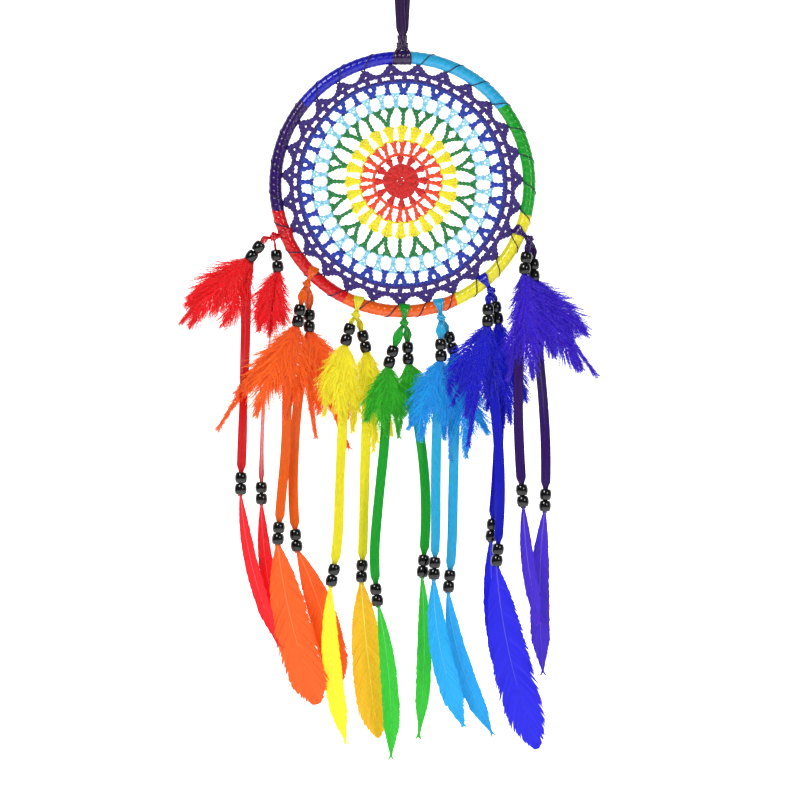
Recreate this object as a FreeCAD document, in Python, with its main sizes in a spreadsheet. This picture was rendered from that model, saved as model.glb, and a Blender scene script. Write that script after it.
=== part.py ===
import FreeCAD, Part
import Sketcher
import math
import os
from FreeCAD import Placement, Rotation, Vector

# Rainbow dream catcher: a satin-wrapped ring with a crocheted doily laced into it, seven ribbons
# tied round its lower half, and a hanging loop knotted to its top with a lark's head.
# Millimetres. The origin is the inside of the hanging loop's bend, where it rests on the nail.
# X runs to the right, Z up, and the front of the doily faces -Y.

COLOURS = ["red", "orange", "yellow", "green", "sky", "blue", "purple"]

SIZES = {
    # hanging loop
    "loop_reach": 100.0,        # inside of the loop's bend down to the ring's outer edge
    "nail_radius": 2.5,         # inside radius of the bend
    "ribbon_width": 6.0,
    "loop_thick": 0.5,
    "loop_gap": 0.3,            # between the two legs where they enter the knot, and to the knot
    # ring
    "ring_radius": 76.2,        # to the middle of the tube
    "core_radius": 3.0,
    "wrap_wall": 0.8,
    # lark's head knot
    "knot_band_width": 5.6,
    "knot_band_wall": 0.85,
    "knot_clearance": 0.25,
    "collar_radius": 3.0,
    "collar_height": 8.0,
    # doily
    "doily_thick": 1.2,
    "doily_clearance": 0.7,     # peak tips to the wrapped ring
    "round_gap": 0.1,           # between one round and the next
    "scallop_radius": 6.5,
    # lacing
    "lacing_radius": 0.35,
    "lacing_hole_radius": 0.5,
    "lacing_inset": 0.7,        # how far the stitch's middle lies inside the tube's middle
    "lacing_clearance": 0.05,
    "stitch_to_tie": 0.4,       # the least gap between a stitch and a tie's band
    # ties
    "tie_clearance": 0.05,
    "tie_wall": 0.5,
    "tie_reach": 7.5,           # tube's middle to the knot's middle
    "neck_radius": 1.5,
    "tie_knot_radius": 2.6,
    "tie_knot_length": 5.0,
    # ribbon tails
    "tail_thick": 0.4,
    "tail_clearance": 0.3,      # between the beads of the front tail and of the rear one
    "strand_radius": 0.6,       # the ribbon bunched up inside a bead
    # beads
    "bead_radius": 3.7,
    "bead_end_radius": 3.0,
    "bead_bore_radius": 2.0,
    "bead_length": 6.6,
    "bead_gap": 0.3,
    "ribbon_relief": 1.2,       # flat ribbon stops this far from a bead
    "upper_bead_drop": 2.5,     # end of the upper pair to the route's next point
    "lower_bead_drop": 0.9,     # end of the lower pair to the route's last point
    # feathers
    "blade_thick": 0.7,
    "shaft_radius": 0.4,
    "shaft_bite": 1.2,          # how far it goes into the bead
    "blade_gap": 2.0,           # bare shaft between the bead and the blade
    "shaft_overlap": 6.0,       # how far the shaft runs on into the blade
}

# The doily's rounds from the middle out: colour, outer radius, radius of its holes, how far
# from the middle they sit, and how many there are.
ROUNDS = [
    ("red", 15.0, 1.0, 10.0, 12),
    ("orange", 24.0, 1.2, 19.5, 24),
    ("yellow", 33.5, 1.6, 29.0, 24),
    ("green", 45.0, 2.4, 39.5, 36),
    ("sky", 54.0, 2.6, 49.5, 36),
    ("blue", 61.0, 2.0, 57.6, 36),
]
PURPLE_HOLE_RADIUS = 2.0
PURPLE_HOLE_AT = 65.0
PEAKS = 27
FIRST_PEAK = 2.2                # degrees, counter-clockwise from +X, seen from the front

# The seven lengths of wrapping, counter-clockwise from the first one's start.
WRAP_ORDER = ["sky", "blue", "purple", "red", "orange", "yellow", "green"]
FIRST_WRAP = 39.2               # degrees
WRAP_SWEEP = 360.0 / len(WRAP_ORDER)

# Where each ribbon is tied on the ring, and how far its knot leans from straight down
# (degrees, positive to the right).
TIES = {
    "red": (-157.0, -76.8),
    "orange": (-135.4, -25.0),
    "yellow": (-110.4, -11.0),
    "green": (-89.0, -2.0),
    "sky": (-73.1, 9.0),
    "blue": (-49.5, 33.0),
    "purple": (-22.1, 52.0),
}

# The route of each tail from its knot, as (x, z) in mm from the knot's middle.
FRONT_TAILS = {
    "red": [(-4.4, -0.5), (-16.4, -16.4), (-16.1, -48.5), (-17.6, -93.5), (-18.8, -133.5),
            (-19.6, -155.5)],
    "orange": [(-2.0, -3.1), (-6.0, -27.7), (-11.5, -58.0), (-12.2, -98.0), (-15.8, -134.0),
               (-17.4, -156.5)],
    "yellow": [(-2.2, -2.8), (-7.2, -20.2), (-7.0, -52.0), (-9.6, -98.0), (-10.4, -140.0),
               (-15.2, -163.0)],
    "green": [(-2.2, -2.9), (-10.9, -28.5), (-10.8, -64.0), (-15.4, -106.0), (-18.8, -146.0),
              (-15.4, -170.0)],
    "sky": [(-0.6, -3.5), (0.0, -28.4), (-2.6, -58.0), (-3.4, -98.0), (-3.2, -134.0),
            (-4.6, -157.5)],
    "blue": [(-2.0, -3.0), (-2.7, -23.7), (0.5, -56.0), (5.0, -100.0), (5.0, -142.0),
             (2.6, -165.5)],
    "purple": [(-1.3, -3.3), (-4.0, -23.3), (-6.2, -56.0), (-7.4, -98.0), (-6.0, -137.0),
               (-4.0, -161.0)],
}
REAR_TAILS = {
    "red": [(0.9, -3.7), (3.3, -23.5), (-1.5, -54.0), (-6.0, -98.0), (-7.4, -138.0),
            (-7.2, -161.5)],
    "orange": [(1.2, -3.4), (1.7, -30.8), (-4.8, -62.0), (-8.2, -104.0), (-8.2, -137.0),
               (-5.6, -161.0)],
    "yellow": [(2.0, -3.0), (7.3, -24.4), (6.6, -58.0), (5.2, -100.0), (4.4, -138.0),
               (3.2, -161.0)],
    "green": [(1.9, -3.1), (2.5, -26.9), (8.0, -56.0), (12.8, -92.0), (13.2, -128.0),
              (10.6, -153.0)],
    "sky": [(2.2, -2.9), (8.5, -23.6), (8.4, -58.0), (7.2, -102.0), (6.6, -142.0),
            (4.0, -165.5)],
    "blue": [(1.6, -3.3), (4.6, -21.9), (5.5, -54.0), (4.4, -91.0), (2.0, -127.0),
             (-0.6, -151.0)],
    "purple": [(1.5, -3.2), (2.9, -27.3), (4.6, -60.0), (8.6, -100.0), (10.2, -138.0),
               (9.0, -164.0)],
}

# Feathers as (lean from straight down, length, width), lean in degrees, positive to the
# right: the bunch under each tail's upper beads and the long feather under its lower beads.
# A long feather lies in front of its ribbon (-1) or behind it (1).
FRONT_PLUMES = {
    "red": (-38.0, 54.0, 24.0), "orange": (-10.0, 56.0, 12.0), "yellow": (-1.0, 46.0, 11.0),
    "green": (-1.0, 38.0, 10.0), "sky": (-4.0, 46.0, 10.0), "blue": (-3.0, 50.0, 9.0),
    "purple": (2.0, 56.0, 12.0),
}
REAR_PLUMES = {
    "red": (-8.0, 38.0, 18.0), "orange": (9.0, 54.0, 14.0), "yellow": (0.0, 56.0, 9.0),
    "green": (4.0, 36.0, 10.0), "sky": (2.0, 60.0, 10.0), "blue": (1.0, 60.0, 10.0),
    "purple": (29.0, 62.0, 22.0),
}
FRONT_QUILLS = {
    "red": (14.3, 99.7, 12.0, 1), "orange": (13.7, 100.0, 28.0, -1),
    "yellow": (5.7, 99.0, 16.0, 1), "green": (4.6, 96.0, 14.0, -1),
    "sky": (11.5, 93.0, 17.0, 1), "blue": (12.5, 116.0, 28.0, -1),
    "purple": (8.0, 74.0, 12.0, 1),
}
REAR_QUILLS = {
    "red": (8.6, 92.0, 13.0, -1), "orange": (17.0, 87.0, 22.0, 1),
    "yellow": (6.2, 95.0, 19.0, -1), "green": (-1.3, 103.0, 13.0, 1),
    "sky": (17.5, 94.0, 15.0, -1), "blue": (5.4, 89.0, 16.0, 1),
    "purple": (0.5, 103.0, 16.0, -1),
}

CORNER_SHARE = 0.45             # an arc takes this share of the shorter run beside it
ARC_RADII = []                  # (tail, radius), printed at the end

doc = FreeCAD.newDocument("dream_catcher")
sheet = doc.addObject("Spreadsheet::Sheet", "Sizes")
for row, (alias, value) in enumerate(SIZES.items(), start=1):
    sheet.set(f"A{row}", alias)
    sheet.set(f"B{row}", str(value))
    sheet.setAlias(f"B{row}", alias)
doc.recompute()

PARTS = []                      # every finished sub-part, one STEP file each


def size(alias):
    """A driving dimension, read from the sheet."""
    return float(sheet.get(alias))


def bind(item, **formulas):
    """Ties properties of an object to formulas over the sheet's cells."""
    for name, formula in formulas.items():
        item.setExpression(name, formula)
    return item


def make(kind, label, placement=None, **formulas):
    """Adds an object, ties its sizes to the sheet and places it."""
    item = doc.addObject(kind, label)
    item.Label = label
    if placement:
        item.Placement = placement
    return bind(item, **formulas)


def finish(item, label):
    """Marks an object as a sub-part and gives it the node's name."""
    item.Label = label
    PARTS.append(item)
    return item


WRAP_RADIUS = size("core_radius") + size("wrap_wall")
RING_RADIUS = size("ring_radius")
RING_CENTRE = Vector(0, 0, -(size("loop_reach") + WRAP_RADIUS + RING_RADIUS))
TUBE_TOP = RING_CENTRE + Vector(0, 0, RING_RADIUS)
DOILY_RADIUS = RING_RADIUS - WRAP_RADIUS - size("doily_clearance")
TAIL_PLANE = size("bead_radius") + size("tail_clearance") / 2
SHAFT_OFFSET = (size("strand_radius") + size("bead_bore_radius")) / 2
FACING_FRONT = Rotation(Vector(1, 0, 0), 90)        # local XY becomes the ring's plane


def turned(angle):
    """The ring's own placement, turned by an angle seen from the front."""
    return Placement(RING_CENTRE, FACING_FRONT * Rotation(Vector(0, 0, 1), angle))


def on_ring(angle, radius):
    """A point in the ring's plane."""
    turn = math.radians(angle)
    return RING_CENTRE + Vector(radius * math.cos(turn), 0, radius * math.sin(turn))


def down_leaning(lean):
    """Unit vector that leans from straight down, positive to the right."""
    return Vector(math.sin(math.radians(lean)), 0, -math.cos(math.radians(lean)))


# ---- ring: rattan core and seven lengths of wound ribbon ----

def tube_pair(label, start, sweep, inner, outer):
    """A length of rod bent round the ring, and the thinner whole ring to cut out of it."""
    outside = make("Part::Torus", label + "_outside", turned(start),
                   Radius1="Sizes.ring_radius", Radius2=outer, Angle3=str(sweep))
    inside = make("Part::Torus", label + "_inside", turned(0),
                  Radius1="Sizes.ring_radius", Radius2=inner)
    return outside, inside


def cut(label, base, tool):
    result = doc.addObject("Part::Cut", label)
    result.Base = base
    result.Tool = tool
    return result


def fuse(label, shapes):
    result = doc.addObject("Part::MultiFuse", label)
    result.Shapes = shapes
    return result


def build_ring():
    finish(make("Part::Torus", "hoop_core", turned(0),
                Radius1="Sizes.ring_radius", Radius2="Sizes.core_radius"), "hoop_core")
    for index, colour in enumerate(WRAP_ORDER):
        label = "wrap_" + colour
        outside, inside = tube_pair(label, FIRST_WRAP + index * WRAP_SWEEP, WRAP_SWEEP,
                                    "Sizes.core_radius", "Sizes.core_radius + Sizes.wrap_wall")
        finish(cut(label, outside, inside), label)


# ---- doily: six plain rounds and the purple one with its peaks ----

def origin_plane(body, role):
    return next(item for item in body.Origin.OriginFeatures if item.Role == role)


def new_sketch(body, label):
    sketch = body.newObject("Sketcher::SketchObject", label)
    sketch.AttachmentSupport = [(origin_plane(body, "XY_Plane"), "")]
    sketch.MapMode = "FlatFace"
    return sketch


def circle(sketch, x, radius, name, formula):
    """A circle on the sketch's X axis, its radius tied to a formula. Gives its index."""
    index = sketch.addGeometry(Part.Circle(Vector(x, 0, 0), Vector(0, 0, 1), radius), False)
    rule = sketch.addConstraint(Sketcher.Constraint("Radius", index, radius))
    sketch.renameConstraint(rule, name)
    if x == 0:
        sketch.addConstraint(Sketcher.Constraint("Coincident", index, 3, -1, 1))
    else:
        sketch.addConstraint(Sketcher.Constraint("PointOnObject", index, 3, -1))
        place = sketch.addConstraint(Sketcher.Constraint("DistanceX", -1, 1, index, 3, x))
        sketch.renameConstraint(place, name + "_at")
    if formula:
        sketch.setExpression("Constraints." + name, formula)
    return index


def ring_of_holes(body, label, at, radius, count, formula=None):
    """A round hole through the doily, repeated round its middle."""
    sketch = new_sketch(body, label + "_hole")
    circle(sketch, at, radius, "hole_radius", formula)
    pocket = body.newObject("PartDesign::Pocket", label + "_pocket")
    pocket.Profile = sketch
    pocket.Type = "ThroughAll"
    pocket.SideType = "Symmetric"
    pattern = body.newObject("PartDesign::PolarPattern", label + "_pattern")
    pattern.Originals = [pocket]
    pattern.Axis = (origin_plane(body, "Z_Axis"), [""])
    pattern.Angle = 360
    pattern.Occurrences = count
    body.Tip = pattern


def crochet_round(label, inner, outer, outer_formula=None):
    """The flat ring of one round, as a body without its holes yet."""
    body = doc.addObject("PartDesign::Body", label)
    sketch = new_sketch(body, label + "_outline")
    circle(sketch, 0, outer, "outer_radius", outer_formula)
    if inner:
        circle(sketch, 0, inner, "inner_radius", None)
    pad = body.newObject("PartDesign::Pad", label + "_pad")
    pad.Profile = sketch
    pad.SideType = "Symmetric"
    bind(pad, Length="Sizes.doily_thick")
    body.Tip = pad
    return body


def build_doily():
    inner = 0.0
    for colour, outer, hole, hole_at, count in ROUNDS:
        label = "doily_" + colour
        body = crochet_round(label, inner, outer)
        ring_of_holes(body, label, hole_at, hole, count)
        body.Placement = turned(FIRST_PEAK)
        finish(body, label)
        inner = outer + size("round_gap")
    rim = crochet_round(
        "doily_purple", inner, DOILY_RADIUS,
        "Sizes.ring_radius - Sizes.core_radius - Sizes.wrap_wall - Sizes.doily_clearance")
    ring_of_holes(rim, "purple_mesh", PURPLE_HOLE_AT, PURPLE_HOLE_RADIUS, PEAKS)
    ring_of_holes(rim, "lacing", lacing_middle() - lacing_bend(), size("lacing_hole_radius"),
                  PEAKS, "Sizes.lacing_hole_radius")
    scallops(rim)
    rim.Placement = turned(FIRST_PEAK)
    finish(rim, "doily_purple")


def scallops(body):
    """Round bites out of the rim, halfway between the peaks."""
    sketch = new_sketch(body, "scallop_outline")
    half_step = math.pi / PEAKS
    reach = DOILY_RADIUS + 1.1      # the bites are centred just outside the rim
    middle = Vector(reach * math.cos(half_step), reach * math.sin(half_step), 0)
    bite = sketch.addGeometry(Part.Circle(middle, Vector(0, 0, 1), size("scallop_radius")),
                              False)
    rule = sketch.addConstraint(Sketcher.Constraint("Radius", bite, size("scallop_radius")))
    sketch.renameConstraint(rule, "scallop_radius")
    sketch.addConstraint(Sketcher.Constraint("DistanceX", -1, 1, bite, 3, middle.x))
    sketch.addConstraint(Sketcher.Constraint("DistanceY", -1, 1, bite, 3, middle.y))
    sketch.setExpression("Constraints.scallop_radius", "Sizes.scallop_radius")
    pocket = body.newObject("PartDesign::Pocket", "scallop_pocket")
    pocket.Profile = sketch
    pocket.Type = "ThroughAll"
    pocket.SideType = "Symmetric"
    pattern = body.newObject("PartDesign::PolarPattern", "scallop_pattern")
    pattern.Originals = [pocket]
    pattern.Axis = (origin_plane(body, "Z_Axis"), [""])
    pattern.Angle = 360
    pattern.Occurrences = PEAKS
    body.Tip = pattern


# ---- lacing: one ring of thread through each peak and round the wrapped tube. Where a
# tie's band covers the peak's stitch, the stitch is left out. ----

def lacing_middle():
    """Distance from the ring's middle to the middle of a stitch."""
    return RING_RADIUS - size("lacing_inset")


def lacing_bend():
    """Radius of a stitch: just outside the tube on its outer side."""
    return WRAP_RADIUS + size("lacing_clearance") + size("lacing_radius") \
        + size("lacing_inset")


def under_a_tie(angle):
    """Whether a stitch at this angle would run into a tie's band."""
    reach = size("ribbon_width") / 2 + size("lacing_radius") + size("stitch_to_tie")
    return any(abs((angle - tie + 180) % 360 - 180) < math.degrees(reach / RING_RADIUS)
               for tie, lean in TIES.values())


def build_lacing():
    stitches = []
    for peak in range(PEAKS):
        angle = FIRST_PEAK + peak * 360.0 / PEAKS
        if under_a_tie(angle):
            continue
        across = Rotation(Vector(0, 1, 0), -angle)
        stitches.append(make(
            "Part::Torus", f"stitch_{peak}",
            Placement(on_ring(angle, lacing_middle()), across),
            Radius1="Sizes.core_radius + Sizes.wrap_wall + Sizes.lacing_clearance"
                    " + Sizes.lacing_radius + Sizes.lacing_inset",
            Radius2="Sizes.lacing_radius"))
    thread = doc.addObject("Part::Compound", "lacing_thread")
    thread.Links = stitches
    finish(thread, "lacing_thread")


# ---- lark's head knot on top, with the collar that the loop comes out of ----

def build_top_knot():
    width = "Sizes.knot_band_width"
    across = Rotation(Vector(0, 1, 0), 90)
    left_end = TUBE_TOP - Vector(size("knot_band_width") / 2, 0, 0)
    bore = "(Sizes.core_radius + Sizes.wrap_wall + Sizes.knot_clearance)"
    outside = make("Part::Cylinder", "knot_outside", Placement(left_end, across),
                   Radius=bore + " + Sizes.knot_band_wall", Height=width)
    collar_foot = WRAP_RADIUS + size("knot_clearance") + size("knot_band_wall") / 4
    collar = make("Part::Cylinder", "knot_collar",
                  Placement(TUBE_TOP + Vector(0, 0, collar_foot), Rotation()),
                  Radius="Sizes.collar_radius", Height="Sizes.collar_height")
    inside = make("Part::Cylinder", "knot_bore",
                  Placement(left_end - Vector(1, 0, 0), across),
                  Radius=bore, Height=width + " + 2")
    finish(cut("lark_head_knot", fuse("knot_body", [outside, collar]), inside),
           "lark_head_knot")
    return TUBE_TOP.z + collar_foot + size("collar_height")


# ---- ties: a band round the tube, a short neck, and the knot that the tails hang from ----

def tie_knot_middle(colour):
    angle, lean = TIES[colour]
    return on_ring(angle, RING_RADIUS) + down_leaning(lean) * size("tie_reach")


def build_ties():
    band_inner = "Sizes.core_radius + Sizes.wrap_wall + Sizes.tie_clearance"
    half_turn = math.degrees(size("ribbon_width") / RING_RADIUS) / 2
    for colour in COLOURS:
        angle, lean = TIES[colour]
        label = "tie_" + colour
        band, tube = tube_pair(label + "_band", angle - half_turn, 2 * half_turn,
                               band_inner, band_inner + " + Sizes.tie_wall")
        neck = make("Part::Cylinder", label + "_neck",
                    Placement(on_ring(angle, RING_RADIUS),
                              Rotation(Vector(0, 0, 1), down_leaning(lean))),
                    Radius="Sizes.neck_radius", Height="Sizes.tie_reach")
        knot_end = tie_knot_middle(colour) - Vector(size("tie_knot_length") / 2, 0, 0)
        knot = make("Part::Cylinder", label + "_knot",
                    Placement(knot_end, Rotation(Vector(0, 1, 0), 90)),
                    Radius="Sizes.tie_knot_radius", Height="Sizes.tie_knot_length")
        finish(cut(label, fuse(label + "_solid", [band, neck, knot]), tube), label)


# ---- routes: straight runs joined by tangent arcs, in a plane that faces the front ----

class Route:
    """A line of pieces, each with its start (x, z), heading, length and turn in radians."""

    def __init__(self, start, heading):
        self.pieces = []
        self.end = start
        self.heading = heading
        self.length = 0.0

    def add(self, length, turn=0.0):
        piece = (self.end, self.heading, length, turn)
        self.pieces.append(piece)
        self.end = along(piece, length)
        self.heading += turn
        self.length += length

    def at(self, distance):
        """The point at a distance along the route, and the heading there."""
        for piece in self.pieces:
            start, heading, length, turn = piece
            if distance <= length or piece is self.pieces[-1]:
                return along(piece, distance), heading + turn * distance / length
            distance -= length

    def part(self, first, last):
        """The pieces between two distances along the route."""
        cut, passed = [], 0.0
        for start, heading, length, turn in self.pieces:
            low = max(first - passed, 0.0)
            high = min(last - passed, length)
            if high - low > 1e-6:
                whole = (start, heading, length, turn)
                cut.append((along(whole, low), heading + turn * low / length, high - low,
                            turn * (high - low) / length))
            passed += length
        return cut


def along(piece, distance, side=0.0):
    """A point at a distance along a piece, and to its left by side."""
    (x, z), heading, length, turn = piece
    if turn:
        radius = length / turn
        end = heading + turn * distance / length
        x += radius * (math.sin(end) - math.sin(heading))
        z -= radius * (math.cos(end) - math.cos(heading))
    else:
        end = heading
        x += distance * math.cos(heading)
        z += distance * math.sin(heading)
    return x - side * math.sin(end), z + side * math.cos(end)


def rounded_route(name, points):
    """The route through points, with each corner an arc as large as its runs allow."""
    runs = [math.dist(a, b) for a, b in zip(points, points[1:])]
    headings = [math.atan2(b[1] - a[1], b[0] - a[0]) for a, b in zip(points, points[1:])]
    route = Route(points[0], headings[0])
    used = 0.0
    for index in range(1, len(runs)):
        turn = headings[index] - headings[index - 1]
        tangent = CORNER_SHARE * min(runs[index - 1], runs[index])
        radius = tangent / math.tan(abs(turn) / 2)
        ARC_RADII.append((name, radius))
        route.add(runs[index - 1] - used - tangent)
        route.add(radius * abs(turn), turn)
        used = tangent
    route.add(runs[-1] - used)
    return route


def flat_strip(pieces, width, thick, middle_y):
    """A strip of ribbon along pieces of a route: its outline, pushed out to its thickness."""
    edges = []
    for side, order in ((width / 2, pieces), (-width / 2, pieces[::-1])):
        for piece in order:
            length, turn = piece[2], piece[3]
            stops = [0.0, length / 2, length]
            if side < 0:
                stops.reverse()
            ends = [Vector(x, 0, z) for x, z in (along(piece, stop, side) for stop in stops)]
            edges.append(Part.Arc(*ends).toShape() if turn
                         else Part.makeLine(ends[0], ends[2]))
    corners = [edge.firstVertex(True).Point for edge in edges[:1]] \
        + [edges[len(pieces) - 1].lastVertex(True).Point, edges[len(pieces)].firstVertex(
            True).Point, edges[-1].lastVertex(True).Point]
    edges.insert(len(pieces), Part.makeLine(corners[1], corners[2]))
    edges.append(Part.makeLine(corners[3], corners[0]))
    face = Part.Face(Part.Wire(edges))
    face.translate(Vector(0, middle_y - thick / 2, 0))
    strip = face.extrude(Vector(0, thick, 0))
    length = sum(piece[2] for piece in pieces)
    if abs(strip.Volume / (width * thick * length) - 1) > 0.01:
        raise RuntimeError("a ribbon's volume doesn't match its section and length")
    return strip


def plain_feature(label, shape):
    """An object whose shape is set directly, for what no feature makes."""
    item = doc.addObject("Part::Feature", label)
    item.Shape = shape
    item.Placement = Placement()
    return finish(item, label)


# ---- hanging loop: a taut strip up over the nail and back down ----

def build_hanging_ribbon(knot_top):
    thick = size("loop_thick")
    bend_radius = size("nail_radius") + thick / 2
    bend_middle = Vector(0, 0, -size("nail_radius"))
    foot = Vector((size("loop_gap") + thick) / 2, 0, knot_top + size("loop_gap"))
    reach = bend_middle - foot
    lean = math.asin(bend_radius / reach.Length)
    heading = math.atan2(reach.z, reach.x) - lean
    leg = math.sqrt(reach.Length ** 2 - bend_radius ** 2)
    over = math.pi + 2 * (math.pi / 2 - heading)
    loop = Route((foot.x, foot.z), heading)
    loop.add(leg)
    loop.add(bend_radius * over, over)
    loop.add(leg)
    plain_feature("hanging_ribbon",
                  flat_strip(loop.pieces, thick, size("ribbon_width"), 0.0))
    return loop.length


# ---- strands: beads, ribbon tails and feathers ----

def build_bead():
    """The barrel bead that every bead is a copy of, its bore along Z."""
    body = doc.addObject("PartDesign::Body", "bead_pattern")
    sketch = body.newObject("Sketcher::SketchObject", "bead_profile")
    sketch.AttachmentSupport = [(origin_plane(body, "XZ_Plane"), "")]
    sketch.MapMode = "FlatFace"
    half = size("bead_length") / 2
    bore, end, belly = (size("bead_bore_radius"), size("bead_end_radius"),
                        size("bead_radius"))
    corners = [Vector(bore, -half, 0), Vector(end, -half, 0), Vector(end, half, 0),
               Vector(bore, half, 0)]
    foot = sketch.addGeometry(Part.LineSegment(corners[0], corners[1]), False)
    barrel = sketch.addGeometry(
        Part.Arc(corners[1], Vector(belly, 0, 0), corners[2]), False)
    head = sketch.addGeometry(Part.LineSegment(corners[2], corners[3]), False)
    wall = sketch.addGeometry(Part.LineSegment(corners[3], corners[0]), False)
    for first, first_end, second, second_end in (
            (foot, 2, barrel, 1), (barrel, 2, head, 1), (head, 2, wall, 1), (wall, 2, foot, 1)):
        sketch.addConstraint(Sketcher.Constraint("Coincident", first, first_end, second,
                                                 second_end))
    sketch.addConstraint(Sketcher.Constraint("Horizontal", foot))
    sketch.addConstraint(Sketcher.Constraint("Symmetric", foot, 1, head, 2, -1))
    sketch.addConstraint(Sketcher.Constraint("Symmetric", barrel, 1, barrel, 2, -1))
    for name, kind, place, value, formula in (
            ("bore", "DistanceX", (-1, 1, foot, 1), bore, "Sizes.bead_bore_radius"),
            ("end", "DistanceX", (-1, 1, barrel, 1), end, "Sizes.bead_end_radius"),
            ("long", "DistanceY", (foot, 1, head, 2), 2 * half, "Sizes.bead_length"),
            ("barrel", "Radius", (barrel,), (half ** 2 + (belly - end) ** 2) / 2
             / (belly - end),
             "(Sizes.bead_length ^ 2 / 4 + (Sizes.bead_radius - Sizes.bead_end_radius) ^ 2)"
             " / 2 / (Sizes.bead_radius - Sizes.bead_end_radius)")):
        rule = sketch.addConstraint(Sketcher.Constraint(kind, *place, value))
        sketch.renameConstraint(rule, name)
        sketch.setExpression("Constraints." + name, formula)
    turning = body.newObject("PartDesign::Revolution", "bead_turned")
    turning.Profile = sketch
    turning.ReferenceAxis = (origin_plane(body, "Z_Axis"), [""])
    turning.Angle = 360
    body.Tip = turning
    return body


def bead_pair(bead, label, route, knot, middle_at, plane):
    """Two beads in line on a tail. Gives them, their middle and their direction."""
    (x, z), heading = route.at(middle_at)
    direction = Vector(math.cos(heading), 0, math.sin(heading))
    middle = Vector(knot.x + x, plane, knot.z + z)
    half_step = (size("bead_length") + size("bead_gap")) / 2
    pair = []
    for index, shift in enumerate((-half_step, half_step)):
        copy = doc.addObject("App::Link", f"{label}_{index}")
        copy.LinkedObject = bead
        copy.Placement = Placement(middle + direction * shift,
                                   Rotation(Vector(0, 0, 1), direction))
        pair.append(copy)
    return pair, middle, direction


def feather(label, mouth, lean, length, width, side):
    """A flat blade on a bare shaft that goes into a bead at mouth, beside the ribbon."""
    direction = down_leaning(lean)
    foot = mouth + Vector(0, side * SHAFT_OFFSET, 0)
    middle = foot + direction * (size("blade_gap") + length / 2)
    across = Vector(0, -1, 0)
    outline = make("Part::Ellipse", label + "_outline",
                   Placement(middle, Rotation(direction, across.cross(direction), across,
                                              "ZXY")))
    outline.MajorRadius = length / 2
    outline.MinorRadius = width / 2
    blade = doc.addObject("Part::Extrusion", label + "_blade")
    blade.Base = outline
    blade.DirMode = "Custom"
    blade.Dir = across
    blade.Solid = True
    blade.Symmetric = True
    bind(blade, LengthFwd="Sizes.blade_thick")
    shaft = make("Part::Cylinder", label + "_shaft",
                 Placement(foot - direction * size("shaft_bite"),
                           Rotation(Vector(0, 0, 1), direction)),
                 Radius="Sizes.shaft_radius",
                 Height="Sizes.shaft_bite + Sizes.blade_gap + Sizes.shaft_overlap")
    return fuse(label, [blade, shaft])


def tail_solid(route, knot, bead_middles, plane):
    """One tail: flat ribbon, bunched into a thin strand where it runs through the beads."""
    half_pair = size("bead_length") + size("bead_gap") / 2
    overlap = 1.0                   # how far the bunched strand runs on into flat ribbon
    here = Vector(knot.x, 0, knot.z)
    solids, start = [], 0.0
    for middle in bead_middles:
        inlet = middle - half_pair - size("ribbon_relief")
        outlet = middle + half_pair + size("ribbon_relief")
        if inlet > start + overlap:
            solids.append(flat_strip(route.part(start, inlet), size("ribbon_width"),
                                     size("tail_thick"), plane).translated(here))
        first = max(inlet - overlap, 0.0)
        last = min(outlet + overlap, route.length)
        ends = [Vector(x, plane, z) + here
                for x, z in (route.at(first)[0], route.at(last)[0])]
        solids.append(Part.makeCylinder(size("strand_radius"), (ends[1] - ends[0]).Length,
                                        ends[0], ends[1] - ends[0]))
        start = outlet
    return solids[0].fuse(solids[1:])


def build_strand(bead, colour):
    knot = tie_knot_middle(colour)
    half_pair = size("bead_length") + size("bead_gap") / 2
    upper, lower, plumes, quills, tails = [], [], [], [], []
    for label, points, plane, plume, quill in (
            (colour + "_front", FRONT_TAILS[colour], -TAIL_PLANE,
             FRONT_PLUMES[colour], FRONT_QUILLS[colour]),
            (colour + "_rear", REAR_TAILS[colour], TAIL_PLANE,
             REAR_PLUMES[colour], REAR_QUILLS[colour])):
        route = rounded_route(label, points)
        upper_at = math.dist(points[0], points[1]) - half_pair - size("upper_bead_drop")
        lower_at = route.length - half_pair - size("lower_bead_drop")
        pair, middle, direction = bead_pair(bead, label + "_upper", route, knot, upper_at,
                                            plane)
        upper += pair
        mouth = middle + direction * half_pair
        for index, side in enumerate((-1, 1)):
            plumes.append(feather(f"{label}_plume_{index}", mouth, *plume, side))
        pair, middle, direction = bead_pair(bead, label + "_lower", route, knot, lower_at,
                                            plane)
        lower += pair
        mouth = middle + direction * half_pair
        quills.append(feather(label + "_quill", mouth, *quill))
        tails.append(tail_solid(route, knot, (upper_at, lower_at), plane))
        print(f"{label}: tail {route.length:.0f} mm")
    plain_feature(colour + "_ribbon_tails", Part.makeCompound(tails))
    for label, items in ((colour + "_upper_beads", upper), (colour + "_lower_beads", lower),
                         (colour + "_plumes", plumes), (colour + "_quills", quills)):
        group = doc.addObject("Part::Compound", label)
        group.Links = items
        finish(group, label)


# ---- the whole object ----

def check_objects():
    """Stops the build if anything failed to recompute or has a bad shape."""
    for item in doc.Objects:
        if "Invalid" in item.State or "Error" in item.State:
            raise RuntimeError(f"{item.Label} failed: {item.State}")
    for item in PARTS:
        if item.Shape.isNull() or not item.Shape.isValid() or not item.Shape.Solids:
            raise RuntimeError(f"{item.Label} has no good solid")


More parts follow.
